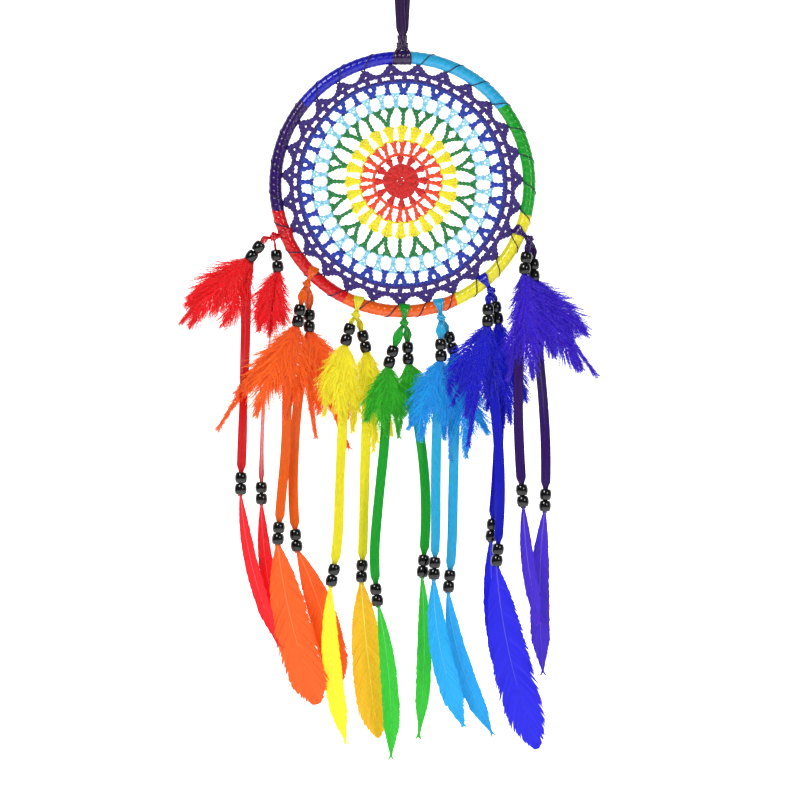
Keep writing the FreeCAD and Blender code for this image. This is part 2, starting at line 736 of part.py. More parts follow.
def main():
    build_ring()
    build_doily()
    build_lacing()
    loop_length = build_hanging_ribbon(build_top_knot())
    build_ties()
    bead = build_bead()
    for colour in COLOURS:
        build_strand(bead, colour)
    doc.recompute()
    check_objects()
    os.makedirs("parts", exist_ok=True)
    for item in PARTS:
        item.Shape.exportStep(f"parts/{item.Label}.step")
    for name, radius in ARC_RADII:
        print(f"{name}: arc radius {radius:.0f} mm")
    print(f"hanging loop {loop_length:.0f} mm, {len(PARTS)} sub-parts")


main()
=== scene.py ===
import math
import random

import bpy
import numpy as np
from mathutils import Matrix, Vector


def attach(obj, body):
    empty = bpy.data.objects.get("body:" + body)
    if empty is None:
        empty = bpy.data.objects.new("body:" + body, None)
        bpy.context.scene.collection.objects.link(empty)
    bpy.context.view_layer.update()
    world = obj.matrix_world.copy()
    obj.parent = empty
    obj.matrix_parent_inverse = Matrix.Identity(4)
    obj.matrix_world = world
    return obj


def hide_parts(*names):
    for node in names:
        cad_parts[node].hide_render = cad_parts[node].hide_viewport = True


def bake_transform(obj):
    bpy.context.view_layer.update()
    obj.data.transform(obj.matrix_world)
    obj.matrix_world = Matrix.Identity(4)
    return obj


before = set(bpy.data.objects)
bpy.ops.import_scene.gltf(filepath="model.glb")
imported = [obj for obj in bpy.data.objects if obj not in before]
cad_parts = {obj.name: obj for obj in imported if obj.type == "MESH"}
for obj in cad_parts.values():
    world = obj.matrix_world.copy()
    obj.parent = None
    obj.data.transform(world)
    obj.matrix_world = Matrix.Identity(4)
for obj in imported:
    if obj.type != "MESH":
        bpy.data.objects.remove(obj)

bl_info = {
    "name": "Rainbow dream catcher",
    "version": (1, 0, 0),
    "blender": (4, 5, 0),
    "location": "View3D > Sidebar > Dream catcher",
    "description": "Ribbon-wrapped ring with a crocheted mandala, beaded ribbons and feathers",
    "category": "Add Mesh",
}

MM = 0.001
COLOURS = ["red", "orange", "yellow", "green", "sky", "blue", "purple"]

# Dyes as sRGB hex: (satin ribbon, crochet cotton, fluffy plume, long feather).
DYES = {
    "red": ("E00612", "D41410", "EE0A18", "EA101C"),
    "orange": ("FA6408", "F4481A", "FF6A10", "FA5A10"),
    "yellow": ("FBF02A", "FFE81A", "FFE42C", "FFE424"),
    "green": ("10A828", "118038", "30B81C", "2DBB2A"),
    "sky": ("2CB4E8", "9CDCF6", "12A4E6", "16A0DE"),
    "blue": ("1012C0", "1735AC", "1010CC", "1614D2"),
    "purple": ("300866", "35197A", "3C10CC", "3A18BC"),
}
GOLDEN_FEATHER = "F2B416"

# ---- the frame that every piece is placed by, in metres ----

RING_RADIUS = 76.2 * MM
WRAP_RADIUS = 3.8 * MM
RING_CENTRE = Vector((0, 0, -180.0 * MM))
PEAKS = 27
FIRST_PEAK = 2.2                 # degrees, counter-clockwise from +X, seen from the front
WRAP_ORDER = ["sky", "blue", "purple", "red", "orange", "yellow", "green"]
FIRST_WRAP = 39.2
BEAD_LENGTH = 6.6 * MM
BEAD_GAP = 0.3 * MM
HALF_PAIR = BEAD_LENGTH + BEAD_GAP / 2
TAIL_PLANE = 3.85 * MM
TIE_REACH = 7.5 * MM
FLUFF_DEPTH = 10.0 * MM          # the feathers spread no further than this, front to back

# Where each ribbon is tied on the ring, and how far its knot leans from straight down.
TIES = {
    "red": (-157.0, -76.8),
    "orange": (-135.4, -25.0),
    "yellow": (-110.4, -11.0),
    "green": (-89.0, -2.0),
    "sky": (-73.1, 9.0),
    "blue": (-49.5, 33.0),
    "purple": (-22.1, 52.0),
}

# The route of each tail from its knot's middle, as (x, z) in metres.
FRONT_TAILS = {
    "red": [(-.0044, -.0005), (-.0164, -.0164), (-.0161, -.0485), (-.0176, -.0935),
            (-.0188, -.1335), (-.0196, -.1555)],
    "orange": [(-.0020, -.0031), (-.0060, -.0277), (-.0115, -.0580), (-.0122, -.0980),
               (-.0158, -.1340), (-.0174, -.1565)],
    "yellow": [(-.0022, -.0028), (-.0072, -.0202), (-.0070, -.0520), (-.0096, -.0980),
               (-.0104, -.1400), (-.0152, -.1630)],
    "green": [(-.0022, -.0029), (-.0109, -.0285), (-.0108, -.0640), (-.0154, -.1060),
              (-.0188, -.1460), (-.0154, -.1700)],
    "sky": [(-.0006, -.0035), (.0000, -.0284), (-.0026, -.0580), (-.0034, -.0980),
            (-.0032, -.1340), (-.0046, -.1575)],
    "blue": [(-.0020, -.0030), (-.0027, -.0237), (.0005, -.0560), (.0050, -.1000),
             (.0050, -.1420), (.0026, -.1655)],
    "purple": [(-.0013, -.0033), (-.0040, -.0233), (-.0062, -.0560), (-.0074, -.0980),
               (-.0060, -.1370), (-.0040, -.1610)],
}
REAR_TAILS = {
    "red": [(.0009, -.0037), (.0033, -.0235), (-.0015, -.0540), (-.0060, -.0980),
            (-.0074, -.1380), (-.0072, -.1615)],
    "orange": [(.0012, -.0034), (.0017, -.0308), (-.0048, -.0620), (-.0082, -.1040),
               (-.0082, -.1370), (-.0056, -.1610)],
    "yellow": [(.0020, -.0030), (.0073, -.0244), (.0066, -.0580), (.0052, -.1000),
               (.0044, -.1380), (.0032, -.1610)],
    "green": [(.0019, -.0031), (.0025, -.0269), (.0080, -.0560), (.0128, -.0920),
              (.0132, -.1280), (.0106, -.1530)],
    "sky": [(.0022, -.0029), (.0085, -.0236), (.0084, -.0580), (.0072, -.1020),
            (.0066, -.1420), (.0040, -.1655)],
    "blue": [(.0016, -.0033), (.0046, -.0219), (.0055, -.0540), (.0044, -.0910),
             (.0020, -.1270), (-.0006, -.1510)],
    "purple": [(.0015, -.0032), (.0029, -.0273), (.0046, -.0600), (.0086, -.1000),
               (.0102, -.1380), (.0090, -.1640)],
}


def on_ring(angle, radius, depth=0.0):
    """A point at an angle seen from the front, depth towards the wall."""
    turn = math.radians(angle)
    return RING_CENTRE + Vector((radius * math.cos(turn), depth, radius * math.sin(turn)))


def down_leaning(lean):
    return Vector((math.sin(math.radians(lean)), 0, -math.cos(math.radians(lean))))


def knot_middle(colour):
    angle, lean = TIES[colour]
    return on_ring(angle, RING_RADIUS) + down_leaning(lean) * TIE_REACH


# ---- small tools ----

def linear(hex_colour):
    """An sRGB hex colour as linear RGB."""
    parts = [int(hex_colour[i:i + 2], 16) / 255 for i in (0, 2, 4)]
    return [c / 12.92 if c <= 0.04045 else ((c + 0.055) / 1.055) ** 2.4 for c in parts]


def shade(colour, factor):
    """A linear colour made darker or lighter, with full alpha."""
    return [min(c * factor, 1.0) for c in colour[:3]] + [1.0]


def add_node(tree, kind, inputs=None, **settings):
    """Adds a node with its settings, and links or sets its inputs."""
    node = tree.nodes.new(kind)
    for name, value in settings.items():
        setattr(node, name, value)
    for name, value in (inputs or {}).items():
        if isinstance(value, bpy.types.NodeSocket):
            tree.links.new(value, node.inputs[name])
        else:
            node.inputs[name].default_value = value
    return node


class Builder:
    """Collects vertices, faces and UVs, and makes one mesh object of them."""

    def __init__(self):
        self.points, self.faces, self.uvs = [], [], []
        self.count = 0
        self.shafts = []             # the faces that take a piece's second material

    def add(self, points, faces, uvs=None):
        """Adds points (n x 3), faces as index lists, and one UV for each point."""
        points = np.asarray(points, float)
        self.points.append(points)
        self.faces += [[i + self.count for i in face] for face in faces]
        self.uvs.append(np.zeros((len(points), 2)) if uvs is None else np.asarray(uvs, float))
        self.count += len(points)

    def grid(self, rows, uvs, wrap=False, caps=False):
        """Adds rows of points (rows x columns x 3) as a sheet, or a tube where wrap is on."""
        rows = np.asarray(rows, float)
        height, width = rows.shape[:2]
        across = width if wrap else width - 1
        faces = []
        for i in range(height - 1):
            for j in range(across):
                k = (j + 1) % width
                faces.append((i * width + j, i * width + k, (i + 1) * width + k,
                              (i + 1) * width + j))
        if caps:
            faces.append(tuple(range(width - 1, -1, -1)))
            faces.append(tuple(range((height - 1) * width, height * width)))
        self.add(rows.reshape(-1, 3), faces, np.asarray(uvs, float).reshape(-1, 2))

    def mesh(self, name):
        mesh = bpy.data.meshes.new(name)
        mesh.from_pydata(np.concatenate(self.points).tolist(), [], self.faces)
        layer = mesh.uv_layers.new(name="length_and_width")
        corners = np.empty(len(mesh.loops), dtype=np.int32)
        mesh.loops.foreach_get("vertex_index", corners)
        layer.data.foreach_set("uv", np.concatenate(self.uvs)[corners].astype(
            np.float32).ravel())
        mesh.update()
        return mesh

    def piece(self, name, material, smooth=True, shaft=None):
        piece = place(name, self.mesh(name), material, smooth)
        if shaft:
            piece.data.materials.append(shaft)
            for face in self.shafts:
                piece.data.polygons[face].material_index = 1
        return piece


def place(name, mesh, material, smooth=True):
    """Puts a mesh in the scene as one object with one material."""
    mesh.name = name
    mesh.materials.clear()
    mesh.materials.append(material)
    mesh.polygons.foreach_set("use_smooth", [smooth] * len(mesh.polygons))
    piece = bpy.data.objects.new(name, mesh)
    bpy.context.scene.collection.objects.link(piece)
    return piece


def modify(piece, kind, **settings):
    """Adds a modifier and applies it."""
    modifier = piece.modifiers.new(kind.title(), kind)
    for name, value in settings.items():
        setattr(modifier, name, value)
    return bake(piece)


def bake(piece):
    """Turns an object with modifiers into its own plain mesh."""
    bpy.context.view_layer.update()
    graph = bpy.context.evaluated_depsgraph_get()
    solid = bpy.data.meshes.new_from_object(piece.evaluated_get(graph),
                                            preserve_all_data_layers=True, depsgraph=graph)
    piece.modifiers.clear()
    old, piece.data = piece.data, solid
    bpy.data.meshes.remove(old)
    return piece


def noise(seed, *waves):
    """A smooth random function of one number: a few sines with seeded phases."""
    draw = random.Random(seed)
    terms = [(amount, pitch * draw.uniform(0.8, 1.25), draw.uniform(0, 2 * math.pi))
             for amount, pitch in waves]
    return lambda at: sum(a * math.sin(2 * math.pi * p * at + f) for a, p, f in terms)


def smooth_step(low, high, at):
    t = min(max((at - low) / (high - low), 0.0), 1.0)
    return t * t * (3 - 2 * t)


# ---- materials: UV runs (length, width) in metres along ribbons and yarn ----

def new_material(name):
    """An empty Principled material, and its tree, shader and texture coordinates."""
    material = bpy.data.materials.new(name)
    material.use_nodes = True
    tree = material.node_tree
    tree.nodes.clear()
    shader = add_node(tree, "ShaderNodeBsdfPrincipled")
    add_node(tree, "ShaderNodeOutputMaterial", {"Surface": shader.outputs["BSDF"]})
    return material, tree, shader, add_node(tree, "ShaderNodeTexCoord")


def colour_mix(tree, factor, first, second):
    """A node that mixes two colours, with its result socket."""
    node = add_node(tree, "ShaderNodeMix", data_type="RGBA")
    tree.links.new(factor, node.inputs["Factor"])
    for socket, value in ((node.inputs[6], first), (node.inputs[7], second)):
        if isinstance(value, bpy.types.NodeSocket):
            tree.links.new(value, socket)
        else:
            socket.default_value = value
    return node.outputs[2]


def stretched(tree, coordinate, scale):
    """Texture coordinates scaled differently along each axis, in cycles per metre."""
    return add_node(tree, "ShaderNodeMapping", {"Vector": coordinate, "Scale": scale}
                    ).outputs["Vector"]


def set_bump(tree, shader, height, distance, strength=1.0):
    bump = add_node(tree, "ShaderNodeBump",
                    {"Height": height, "Distance": distance, "Strength": strength})
    tree.links.new(bump.outputs["Normal"], shader.inputs["Normal"])


def satin(colour, hex_colour):
    """Polyester satin ribbon: fine threads along it, and soft creases with painted shade in
    their troughs.
    """
    material, tree, shader, at = new_material(f"satin_ribbon_{colour}")
    base = linear(hex_colour)
    threads = add_node(tree, "ShaderNodeTexNoise", {
        "Vector": stretched(tree, at.outputs["UV"], (120, 5000, 1)), "Detail": 2.0})
    creases = add_node(tree, "ShaderNodeTexNoise", {
        "Vector": stretched(tree, at.outputs["UV"], (60, 320, 1)), "Detail": 2.0})
    # Painted shade: the base colour darkens to 0.55 of the dye where the crease noise dips, the
    # same noise that bumps the creases.
    tree.links.new(colour_mix(tree, creases.outputs["Fac"], shade(base, 0.55),
                              shade(base, 0.95)), shader.inputs["Base Color"])
    height = add_node(tree, "ShaderNodeMath", {0: creases.outputs["Fac"],
                                               1: threads.outputs["Fac"]}, operation="ADD")
    set_bump(tree, shader, height.outputs[0], 0.02 * MM, 0.5)
    shader.inputs["Roughness"].default_value = 0.24
    shader.inputs["Specular IOR Level"].default_value = 0.5
    return material


def yarn(colour, hex_colour, fibre_shade=0.55):
    """Mercerised crochet cotton: mottled along its length, with fine fibres, painted shade
    between them and painted light on their tops.
    """
    material, tree, shader, at = new_material(f"crochet_cotton_{colour}")
    base = linear(hex_colour)
    blotches = add_node(tree, "ShaderNodeTexNoise", {
        "Vector": stretched(tree, at.outputs["Object"], (260, 260, 260)), "Detail": 2.0})
    fibres = add_node(tree, "ShaderNodeTexNoise", {
        "Vector": stretched(tree, at.outputs["UV"], (900, 9000, 1)), "Detail": 3.0})
    # Painted shade and light: the fibre noise that makes the bump darkens the colour in its
    # troughs and lightens it on its ridges.
    dark = colour_mix(tree, fibres.outputs["Fac"], shade(base, fibre_shade), shade(base, 1.2))
    tree.links.new(colour_mix(tree, blotches.outputs["Fac"], dark, shade(base, 1.05)),
                   shader.inputs["Base Color"])
    set_bump(tree, shader, fibres.outputs["Fac"], 0.12 * MM)
    shader.inputs["Roughness"].default_value = 0.72
    shader.inputs["Sheen Weight"].default_value = 0.25
    return material


def feather(colour, hex_colour, kind, roughness):
    """Dyed feather: streaked from barb to barb."""
    material, tree, shader, at = new_material(f"dyed_{kind}_{colour}")
    base = linear(hex_colour)
    streaks = add_node(tree, "ShaderNodeTexNoise", {
        "Vector": stretched(tree, at.outputs["Object"], (420, 420, 90)), "Detail": 3.0})
    dye_and_glow = colour_mix(tree, streaks.outputs["Fac"], shade(base, 0.7), shade(base, 1.3))
    for name in ("Base Color", "Emission Color"):
        tree.links.new(dye_and_glow, shader.inputs[name])
    # Painted glow: the dye colour is also emitted, standing in for light that soaks through the
    # barbs, and keeps the dye bright in the shade.
    shader.inputs["Emission Strength"].default_value = 0.16
    shader.inputs["Roughness"].default_value = roughness
    shader.inputs["Sheen Weight"].default_value = 0.3
    shader.inputs["Specular IOR Level"].default_value = 0.3
    shader.inputs["Subsurface Weight"].default_value = 0.2
    shader.inputs["Subsurface Scale"].default_value = 2.0 * MM
    return material


def plain(name, hex_colour, roughness, coat=0.0):
    material, _tree, shader, _at = new_material(name)
    shader.inputs["Base Color"].default_value = shade(linear(hex_colour), 1.0)
    shader.inputs["Roughness"].default_value = roughness
    shader.inputs["Coat Weight"].default_value = coat
    return material


def finish_named(name, make, *settings):
    """The material of that name, made the first time that it is asked for."""
    return bpy.data.materials.get(name) or make(*settings)


def satin_of(colour):
    return finish_named(f"satin_ribbon_{colour}", satin, colour, DYES[colour][0])


def dark_satin():
    return finish_named("satin_ribbon_aubergine", satin, "aubergine", "2E0C48")


def yarn_of(colour):
    return finish_named(f"crochet_cotton_{colour}", yarn, colour, DYES[colour][1])


def plume_of(colour):
    return finish_named(f"dyed_marabou_{colour}", feather, colour, DYES[colour][2],
                        "marabou", 0.8)


def vane_of(colour, hex_colour=None):
    return finish_named(f"dyed_vane_{colour}", feather, colour,
                        hex_colour or DYES[colour][3], "vane", 0.5)


def shaft_of(colour):
    """A feather's shaft, paler than its barbs."""
    pale = [int(64 + 0.75 * int(DYES[colour][3][i:i + 2], 16)) for i in (0, 2, 4)]
    return finish_named(f"feather_shaft_{colour}", plain, f"feather_shaft_{colour}",
                        "%02X%02X%02X" % tuple(pale), 0.4)


# ---- Geometry Nodes ----

def new_group(name, inputs):
    """A geometry node group with named inputs, and its input and output nodes."""
    group = bpy.data.node_groups.new(name, "GeometryNodeTree")
    group.interface.new_socket("Geometry", in_out="INPUT", socket_type="NodeSocketGeometry")
    for label, kind, default in inputs:
        socket = group.interface.new_socket(label, in_out="INPUT", socket_type=kind)
        if default is not None:
            socket.default_value = default
    group.interface.new_socket("Geometry", in_out="OUTPUT", socket_type="NodeSocketGeometry")
    return group, add_node(group, "NodeGroupInput"), add_node(group, "NodeGroupOutput")


def close_group(group, given, out, instances):
    """Ends a group in Realize Instances and Set Material."""
    solid = add_node(group, "GeometryNodeRealizeInstances", {"Geometry": instances})
    coloured = add_node(group, "GeometryNodeSetMaterial", {
        "Geometry": solid.outputs[0], "Material": given.outputs["Material"]})
    group.links.new(coloured.outputs[0], out.inputs[0])


def use_group(mesh, group, values, name):
    """Runs a node group on a mesh, and gives the plain mesh that comes out."""
    holder = bpy.data.objects.new(name, mesh)
    bpy.context.scene.collection.objects.link(holder)
    modifier = holder.modifiers.new(group.name, "NODES")
    modifier.node_group = group
    for item in group.interface.items_tree:
        if item.in_out == "INPUT" and item.name in values:
            modifier[item.identifier] = values[item.name]
    bake(holder)
    made = holder.data
    bpy.data.objects.remove(holder)
    made.name = name
    return made


def maths(group, operation, first, second=None):
    """A math node's result from sockets or numbers."""
    inputs = {0: first} if second is None else {0: first, 1: second}
    return add_node(group, "ShaderNodeMath", inputs, operation=operation).outputs[0]


def scatter(group, given, low, high, salt):
    """A random number for each instance, from the group's seed."""
    index = add_node(group, "GeometryNodeInputIndex")
    mixed = maths(group, "ADD", given.outputs["Seed"], float(salt))
    return add_node(group, "FunctionNodeRandomValue", {
        2: low, 3: high, "ID": index.outputs[0], "Seed": mixed}, data_type="FLOAT").outputs[1]


def radial_repeat():
    """Repeats a sector of crochet or one stitch all round the ring's centre."""
    name = "Repeat round the ring"
    if name in bpy.data.node_groups:
        return bpy.data.node_groups[name]
    group, given, out = new_group(name, [
        ("Count", "NodeSocketInt", 12), ("First angle", "NodeSocketFloat", 0.0),
        ("Step", "NodeSocketFloat", 0.0), ("Centre", "NodeSocketVector", (0, 0, 0)),
        ("Material", "NodeSocketMaterial", None)])
    spots = add_node(group, "GeometryNodePoints", {"Count": given.outputs["Count"]})
    index = add_node(group, "GeometryNodeInputIndex")
    turn = maths(group, "MULTIPLY", index.outputs[0], given.outputs["Step"])
    turn = maths(group, "ADD", turn, given.outputs["First angle"])
    rotation = add_node(group, "ShaderNodeCombineXYZ", {
        "Y": maths(group, "MULTIPLY", turn, -1.0)})
    copies = add_node(group, "GeometryNodeInstanceOnPoints", {
        "Points": spots.outputs[0], "Instance": given.outputs["Geometry"],
        "Rotation": rotation.outputs[0]})
    moved = add_node(group, "GeometryNodeTransform", {
        "Geometry": copies.outputs[0], "Translation": given.outputs["Centre"]})
    close_group(group, given, out, moved.outputs[0])
    return group


def repeat_round(mesh, count, first, material, name, step=None):
    """A mesh about the ring's centre, repeated count times, as a plain mesh."""
    return use_group(mesh, radial_repeat(), {
        "Count": count, "First angle": math.radians(first),
        "Step": math.radians(step or 360.0 / count), "Centre": RING_CENTRE,
        "Material": material}, name)


def barbs_down_a_quill():
    """Sets barbs on both sides of a straight quill that runs down from the origin.

    The barb that comes in runs along +X for a length of 1. At the quill's top it leaves at
    the first angle from straight down, and at the tip at the last angle.
    """
    name = "Barbs down a quill"
    if name in bpy.data.node_groups:
        return bpy.data.node_groups[name]
    group, given, out = new_group(name, [
        ("Count", "NodeSocketInt", 200), ("Quill length", "NodeSocketFloat", 0.05),
        ("Barb length", "NodeSocketFloat", 0.01), ("Barb width", "NodeSocketFloat", 0.01),
        ("First angle", "NodeSocketFloat", 1.2), ("Last angle", "NodeSocketFloat", 0.3),
        ("Fluff", "NodeSocketFloat", 0.5), ("Roll", "NodeSocketFloat", 1.0),
        ("Fullness", "NodeSocketFloat", 0.5), ("Bluntness", "NodeSocketFloat", 0.5),
        ("Seed", "NodeSocketInt", 0),
        ("Material", "NodeSocketMaterial", None)])
    index = add_node(group, "GeometryNodeInputIndex").outputs[0]
    along = maths(group, "DIVIDE", index, given.outputs["Count"])
    spots = add_node(group, "GeometryNodePoints", {
        "Count": given.outputs["Count"],
        "Position": add_node(group, "ShaderNodeCombineXYZ", {
            "Z": maths(group, "MULTIPLY", maths(group, "MULTIPLY", along, -1.0),
                       given.outputs["Quill length"])}).outputs[0]})
    side = maths(group, "MULTIPLY", maths(group, "MODULO", index, 2.0), math.pi)
    spread = maths(group, "MULTIPLY", scatter(group, given, -1.0, 1.0, 1),
                   given.outputs["Fluff"])
    turned_in = maths(group, "SUBTRACT", given.outputs["Last angle"],
                      given.outputs["First angle"])
    angle = maths(group, "ADD", given.outputs["First angle"],
                  maths(group, "MULTIPLY", along, turned_in))
    angle = maths(group, "ADD", angle, maths(group, "MULTIPLY", maths(
        group, "MULTIPLY", scatter(group, given, -0.35, 0.35, 2), given.outputs["Fluff"]), 1.0))
    down = maths(group, "SUBTRACT", math.pi / 2, angle)
    roll = maths(group, "MULTIPLY", scatter(group, given, -1.0, 1.0, 3), given.outputs["Roll"])
    rotation = add_node(group, "ShaderNodeCombineXYZ", {
        "X": roll, "Y": down, "Z": maths(group, "ADD", side, spread)})
    # Barbs are longest where the fullness says, short at the top and at the tip.
    rise = maths(group, "MINIMUM", maths(group, "DIVIDE", along, given.outputs["Fullness"]), 1.0)
    fall = maths(group, "DIVIDE", maths(group, "SUBTRACT", 1.0, along), maths(
        group, "SUBTRACT", 1.0, given.outputs["Fullness"]))
    fall = maths(group, "MINIMUM", fall, 1.0)
    profile = maths(group, "POWER", maths(group, "MULTIPLY", rise, fall),
                    given.outputs["Bluntness"])
    profile = maths(group, "MAXIMUM", profile, 0.14)
    uneven = maths(group, "ADD", 1.0, maths(group, "MULTIPLY", scatter(
        group, given, -0.5, 0.25, 4), given.outputs["Fluff"]))
    reach = maths(group, "MULTIPLY", maths(group, "MULTIPLY", profile, uneven),
                  given.outputs["Barb length"])
    size = add_node(group, "ShaderNodeCombineXYZ", {
        "X": reach, "Y": given.outputs["Barb width"], "Z": given.outputs["Barb width"]})
    copies = add_node(group, "GeometryNodeInstanceOnPoints", {
        "Points": spots.outputs[0], "Instance": given.outputs["Geometry"],
        "Rotation": rotation.outputs[0], "Scale": size.outputs[0]})
    close_group(group, given, out, copies.outputs[0])
    return group


# ---- yarn, ribbon and feathers as meshes ----

def strand(builder, points, width, pitch=1.6, sides=6, phase=0.0):
    """Two-ply twisted yarn along a smooth line of points (n x 3), in metres."""
    points = np.asarray(points, float)
    steps = np.linalg.norm(np.diff(points, axis=0), axis=1)
    at = np.concatenate([[0], np.cumsum(steps)])
    count = max(4, int(at[-1] / (0.36 * width)) + 1)
    s = np.linspace(0, at[-1], count)
    line = np.stack([np.interp(s, at, points[:, i]) for i in range(3)], 1)
    along = np.gradient(line, axis=0)
    along /= np.linalg.norm(along, axis=1)[:, None] + 1e-12
    first = np.cross(along, np.array([0.0, 1.0, 0.0]))
    weak = np.linalg.norm(first, axis=1) < 1e-3
    first[weak] = (1.0, 0.0, 0.0)
    first /= np.linalg.norm(first, axis=1)[:, None]
    second = np.cross(first, along)
    turn = np.linspace(0, 2 * math.pi, sides, endpoint=False)
    for ply in (0.0, math.pi):
        spin = phase + ply + 2 * math.pi * s / (pitch * width)
        middle = line + 0.20 * width * (np.cos(spin)[:, None] * first
                                        + np.sin(spin)[:, None] * second)
        ring = 0.33 * width * (np.cos(turn)[None, :, None] * first[:, None, :]
                               + np.sin(turn)[None, :, None] * second[:, None, :])
        uv = np.stack(np.meshgrid(s, turn / (2 * math.pi) * width * 2, indexing="ij"), -1)
        builder.grid(middle[:, None, :] + ring, uv, wrap=True, caps=True)


def polar(stroke, count=9):
    """A smooth line through (radius mm, angle deg, depth mm) about the ring's centre."""
    stroke = np.asarray(stroke, float)
    t = np.linspace(0, len(stroke) - 1, count * (len(stroke) - 1) + 1)
    i = np.clip(t.astype(int), 0, len(stroke) - 2)
    f = (t - i)[:, None]
    padded = np.vstack([2 * stroke[0] - stroke[1], stroke, 2 * stroke[-1] - stroke[-2]])
    a, b, c, d = (padded[i + k] for k in range(4))
    line = 0.5 * (2 * b + (c - a) * f + (2 * a - 5 * b + 4 * c - d) * f ** 2
                  + (3 * b - a - 3 * c + d) * f ** 3)
    turn = np.radians(line[:, 1])
    return np.stack([line[:, 0] * np.cos(turn), line[:, 2], line[:, 0] * np.sin(turn)],
                    1) * MM


def chain(radius, width, depth=0.0, bumps=0, lift=0.0, first=0.0):
    """Yarn that goes right round at a radius, with bumps outwards."""
    turn = np.linspace(0, 2 * math.pi, 361)
    out = radius + lift * np.abs(np.cos((turn - math.radians(first)) * bumps / 2)) ** 2
    return np.stack([out * np.cos(turn), np.full_like(turn, depth), out * np.sin(turn)],
                    1) * MM, width


def bent(points, lean, bow, twist, root):
    """A straight feather's points, twisted, bowed out at its middle, leaned and moved."""
    z = -points[:, 2]
    length = max(z.max(), 1e-6)
    part = z / length
    spin = twist * part
    x = points[:, 0] * np.cos(spin) - points[:, 1] * np.sin(spin)
    y = points[:, 0] * np.sin(spin) + points[:, 1] * np.cos(spin)
    x = x + bow[0] * 4 * part * (1 - part)
    y = FLUFF_DEPTH * np.tanh((y + bow[1] * 4 * part * (1 - part)) / FLUFF_DEPTH)
    turn = math.radians(lean)
    return np.stack([x * math.cos(turn) + z * math.sin(turn), y,
                     x * math.sin(turn) - z * math.cos(turn)], 1) + np.asarray(root)


def mesh_arrays(mesh):
    """A mesh's points, faces and point UVs."""
    points = np.empty(len(mesh.vertices) * 3)
    mesh.vertices.foreach_get("co", points)
    faces = [list(polygon.vertices) for polygon in mesh.polygons]
    uvs = np.zeros((len(mesh.vertices), 2))
    layer = mesh.uv_layers.get("length_and_width")
    if layer:
        corners = np.empty(len(mesh.loops), dtype=np.int32)
        mesh.loops.foreach_get("vertex_index", corners)
        values = np.empty(len(mesh.loops) * 2)
        layer.data.foreach_get("uv", values)
        uvs[corners] = values.reshape(-1, 2)
    return points.reshape(-1, 3), faces, uvs


# ---- the ring's wrapping ----

def build_wraps(settings):
    """Satin ribbon wound round the ring, seven colours in equal stretches."""
    pitch = math.degrees(settings.wrap_pitch / RING_RADIUS)
    width = math.degrees(settings.ribbon_width / RING_RADIUS)
    around, across = 36, (0.0, 0.06, 0.3, 0.55, 0.8, 1.0)
    for order, colour in enumerate(WRAP_ORDER):
        start = FIRST_WRAP + order * 360.0 / 7
        turns = int(round(360.0 / 7 / pitch))
        uneven = noise(order + 3, (0.10, 1.3), (0.07, 3.7))
        pucker = noise(order + 40, (0.05, 6.3), (0.04, 11.0))
        builder = Builder()
        rows, uvs = [], []
        for i in range(turns * around + 1):
            turn = i / around
            phi = 2 * math.pi * turn
            row, uv = [], []
            for part in across:
                angle = start + (turn + uneven(turn) * 0.6) * 360.0 / 7 / turns \
                    + (part - 0.5) * width
                lift = 0.26 * MM * (1 - part) ** 1.5 - 0.06 * MM
                lift += pucker(turn * 2 + part * 3) * MM * 0.4 * part
                if part == 0.0:
                    lift -= 0.22 * MM        # the edge turns down onto the turn below
                radius = WRAP_RADIUS + lift
                at = on_ring(angle, RING_RADIUS + radius * math.cos(phi),
                             -radius * math.sin(phi))
                row.append(at)
                uv.append((i / around * 2 * math.pi * WRAP_RADIUS,
                           part * settings.ribbon_width))
            rows.append(row)
            uvs.append(uv)
        builder.grid(rows, uvs)
        piece = builder.piece(f"wrapping_{colour}", satin_of(colour))
        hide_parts(f"wrap_{colour}")
        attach(piece, "hoop")


# ---- the crocheted mandala ----

def crochet(colour, motif, count, first, rings, settings, seed):
    """One colour's rounds: a repeated sector of stitches, and rings of chain."""
    sector = Builder()
    for stroke, width in motif:
        strand(sector, polar(stroke), width * MM, settings.twist_pitch, phase=stroke[0][1])
    mesh = repeat_round(sector.mesh(f"{colour}_sector"), count, first, yarn_of(colour),
                        f"{colour}_rounds")
    points, faces, uvs = mesh_arrays(mesh)
    builder = Builder()
    builder.add(points, faces, uvs)
    for ring, width in rings:
        strand(builder, ring + np.asarray(RING_CENTRE), width * MM, settings.twist_pitch)
    mesh = builder.mesh(f"mandala_{colour}")
    warp(mesh, settings.wobble, seed)
    piece = place(f"mandala_{colour}", mesh, yarn_of(colour))
    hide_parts(f"doily_{colour}")
    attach(piece, "hoop")


def warp(mesh, wobble, seed):
    """Pulls the crochet a little out of true, as hand work is, most near its middle."""
    points, _faces, _uvs = mesh_arrays(mesh)
    local = points - np.asarray(RING_CENTRE)
    radius = np.hypot(local[:, 0], local[:, 2]) / MM
    turn = np.arctan2(local[:, 2], local[:, 0])
    middle = np.clip(1 - radius / 68.0, 0, 1) ** 0.8
    local[:, 0] += (-1.0 * middle + wobble * np.sin(3 * turn + 1.1) * np.sin(radius / 9.0)
                    + 0.6 * wobble * np.sin(7 * turn + radius / 4.0)) * MM
    local[:, 2] += (2.2 * middle + wobble * np.sin(2 * turn + 0.4) * np.sin(radius / 11.0 + 1)
                    + 0.6 * wobble * np.cos(9 * turn - radius / 5.0)) * MM
    local[:, 1] += wobble * 0.7 * np.sin(5 * turn + radius / 7.0) * MM
    mesh.vertices.foreach_set("co", (local + np.asarray(RING_CENTRE)).ravel())
    mesh.update()


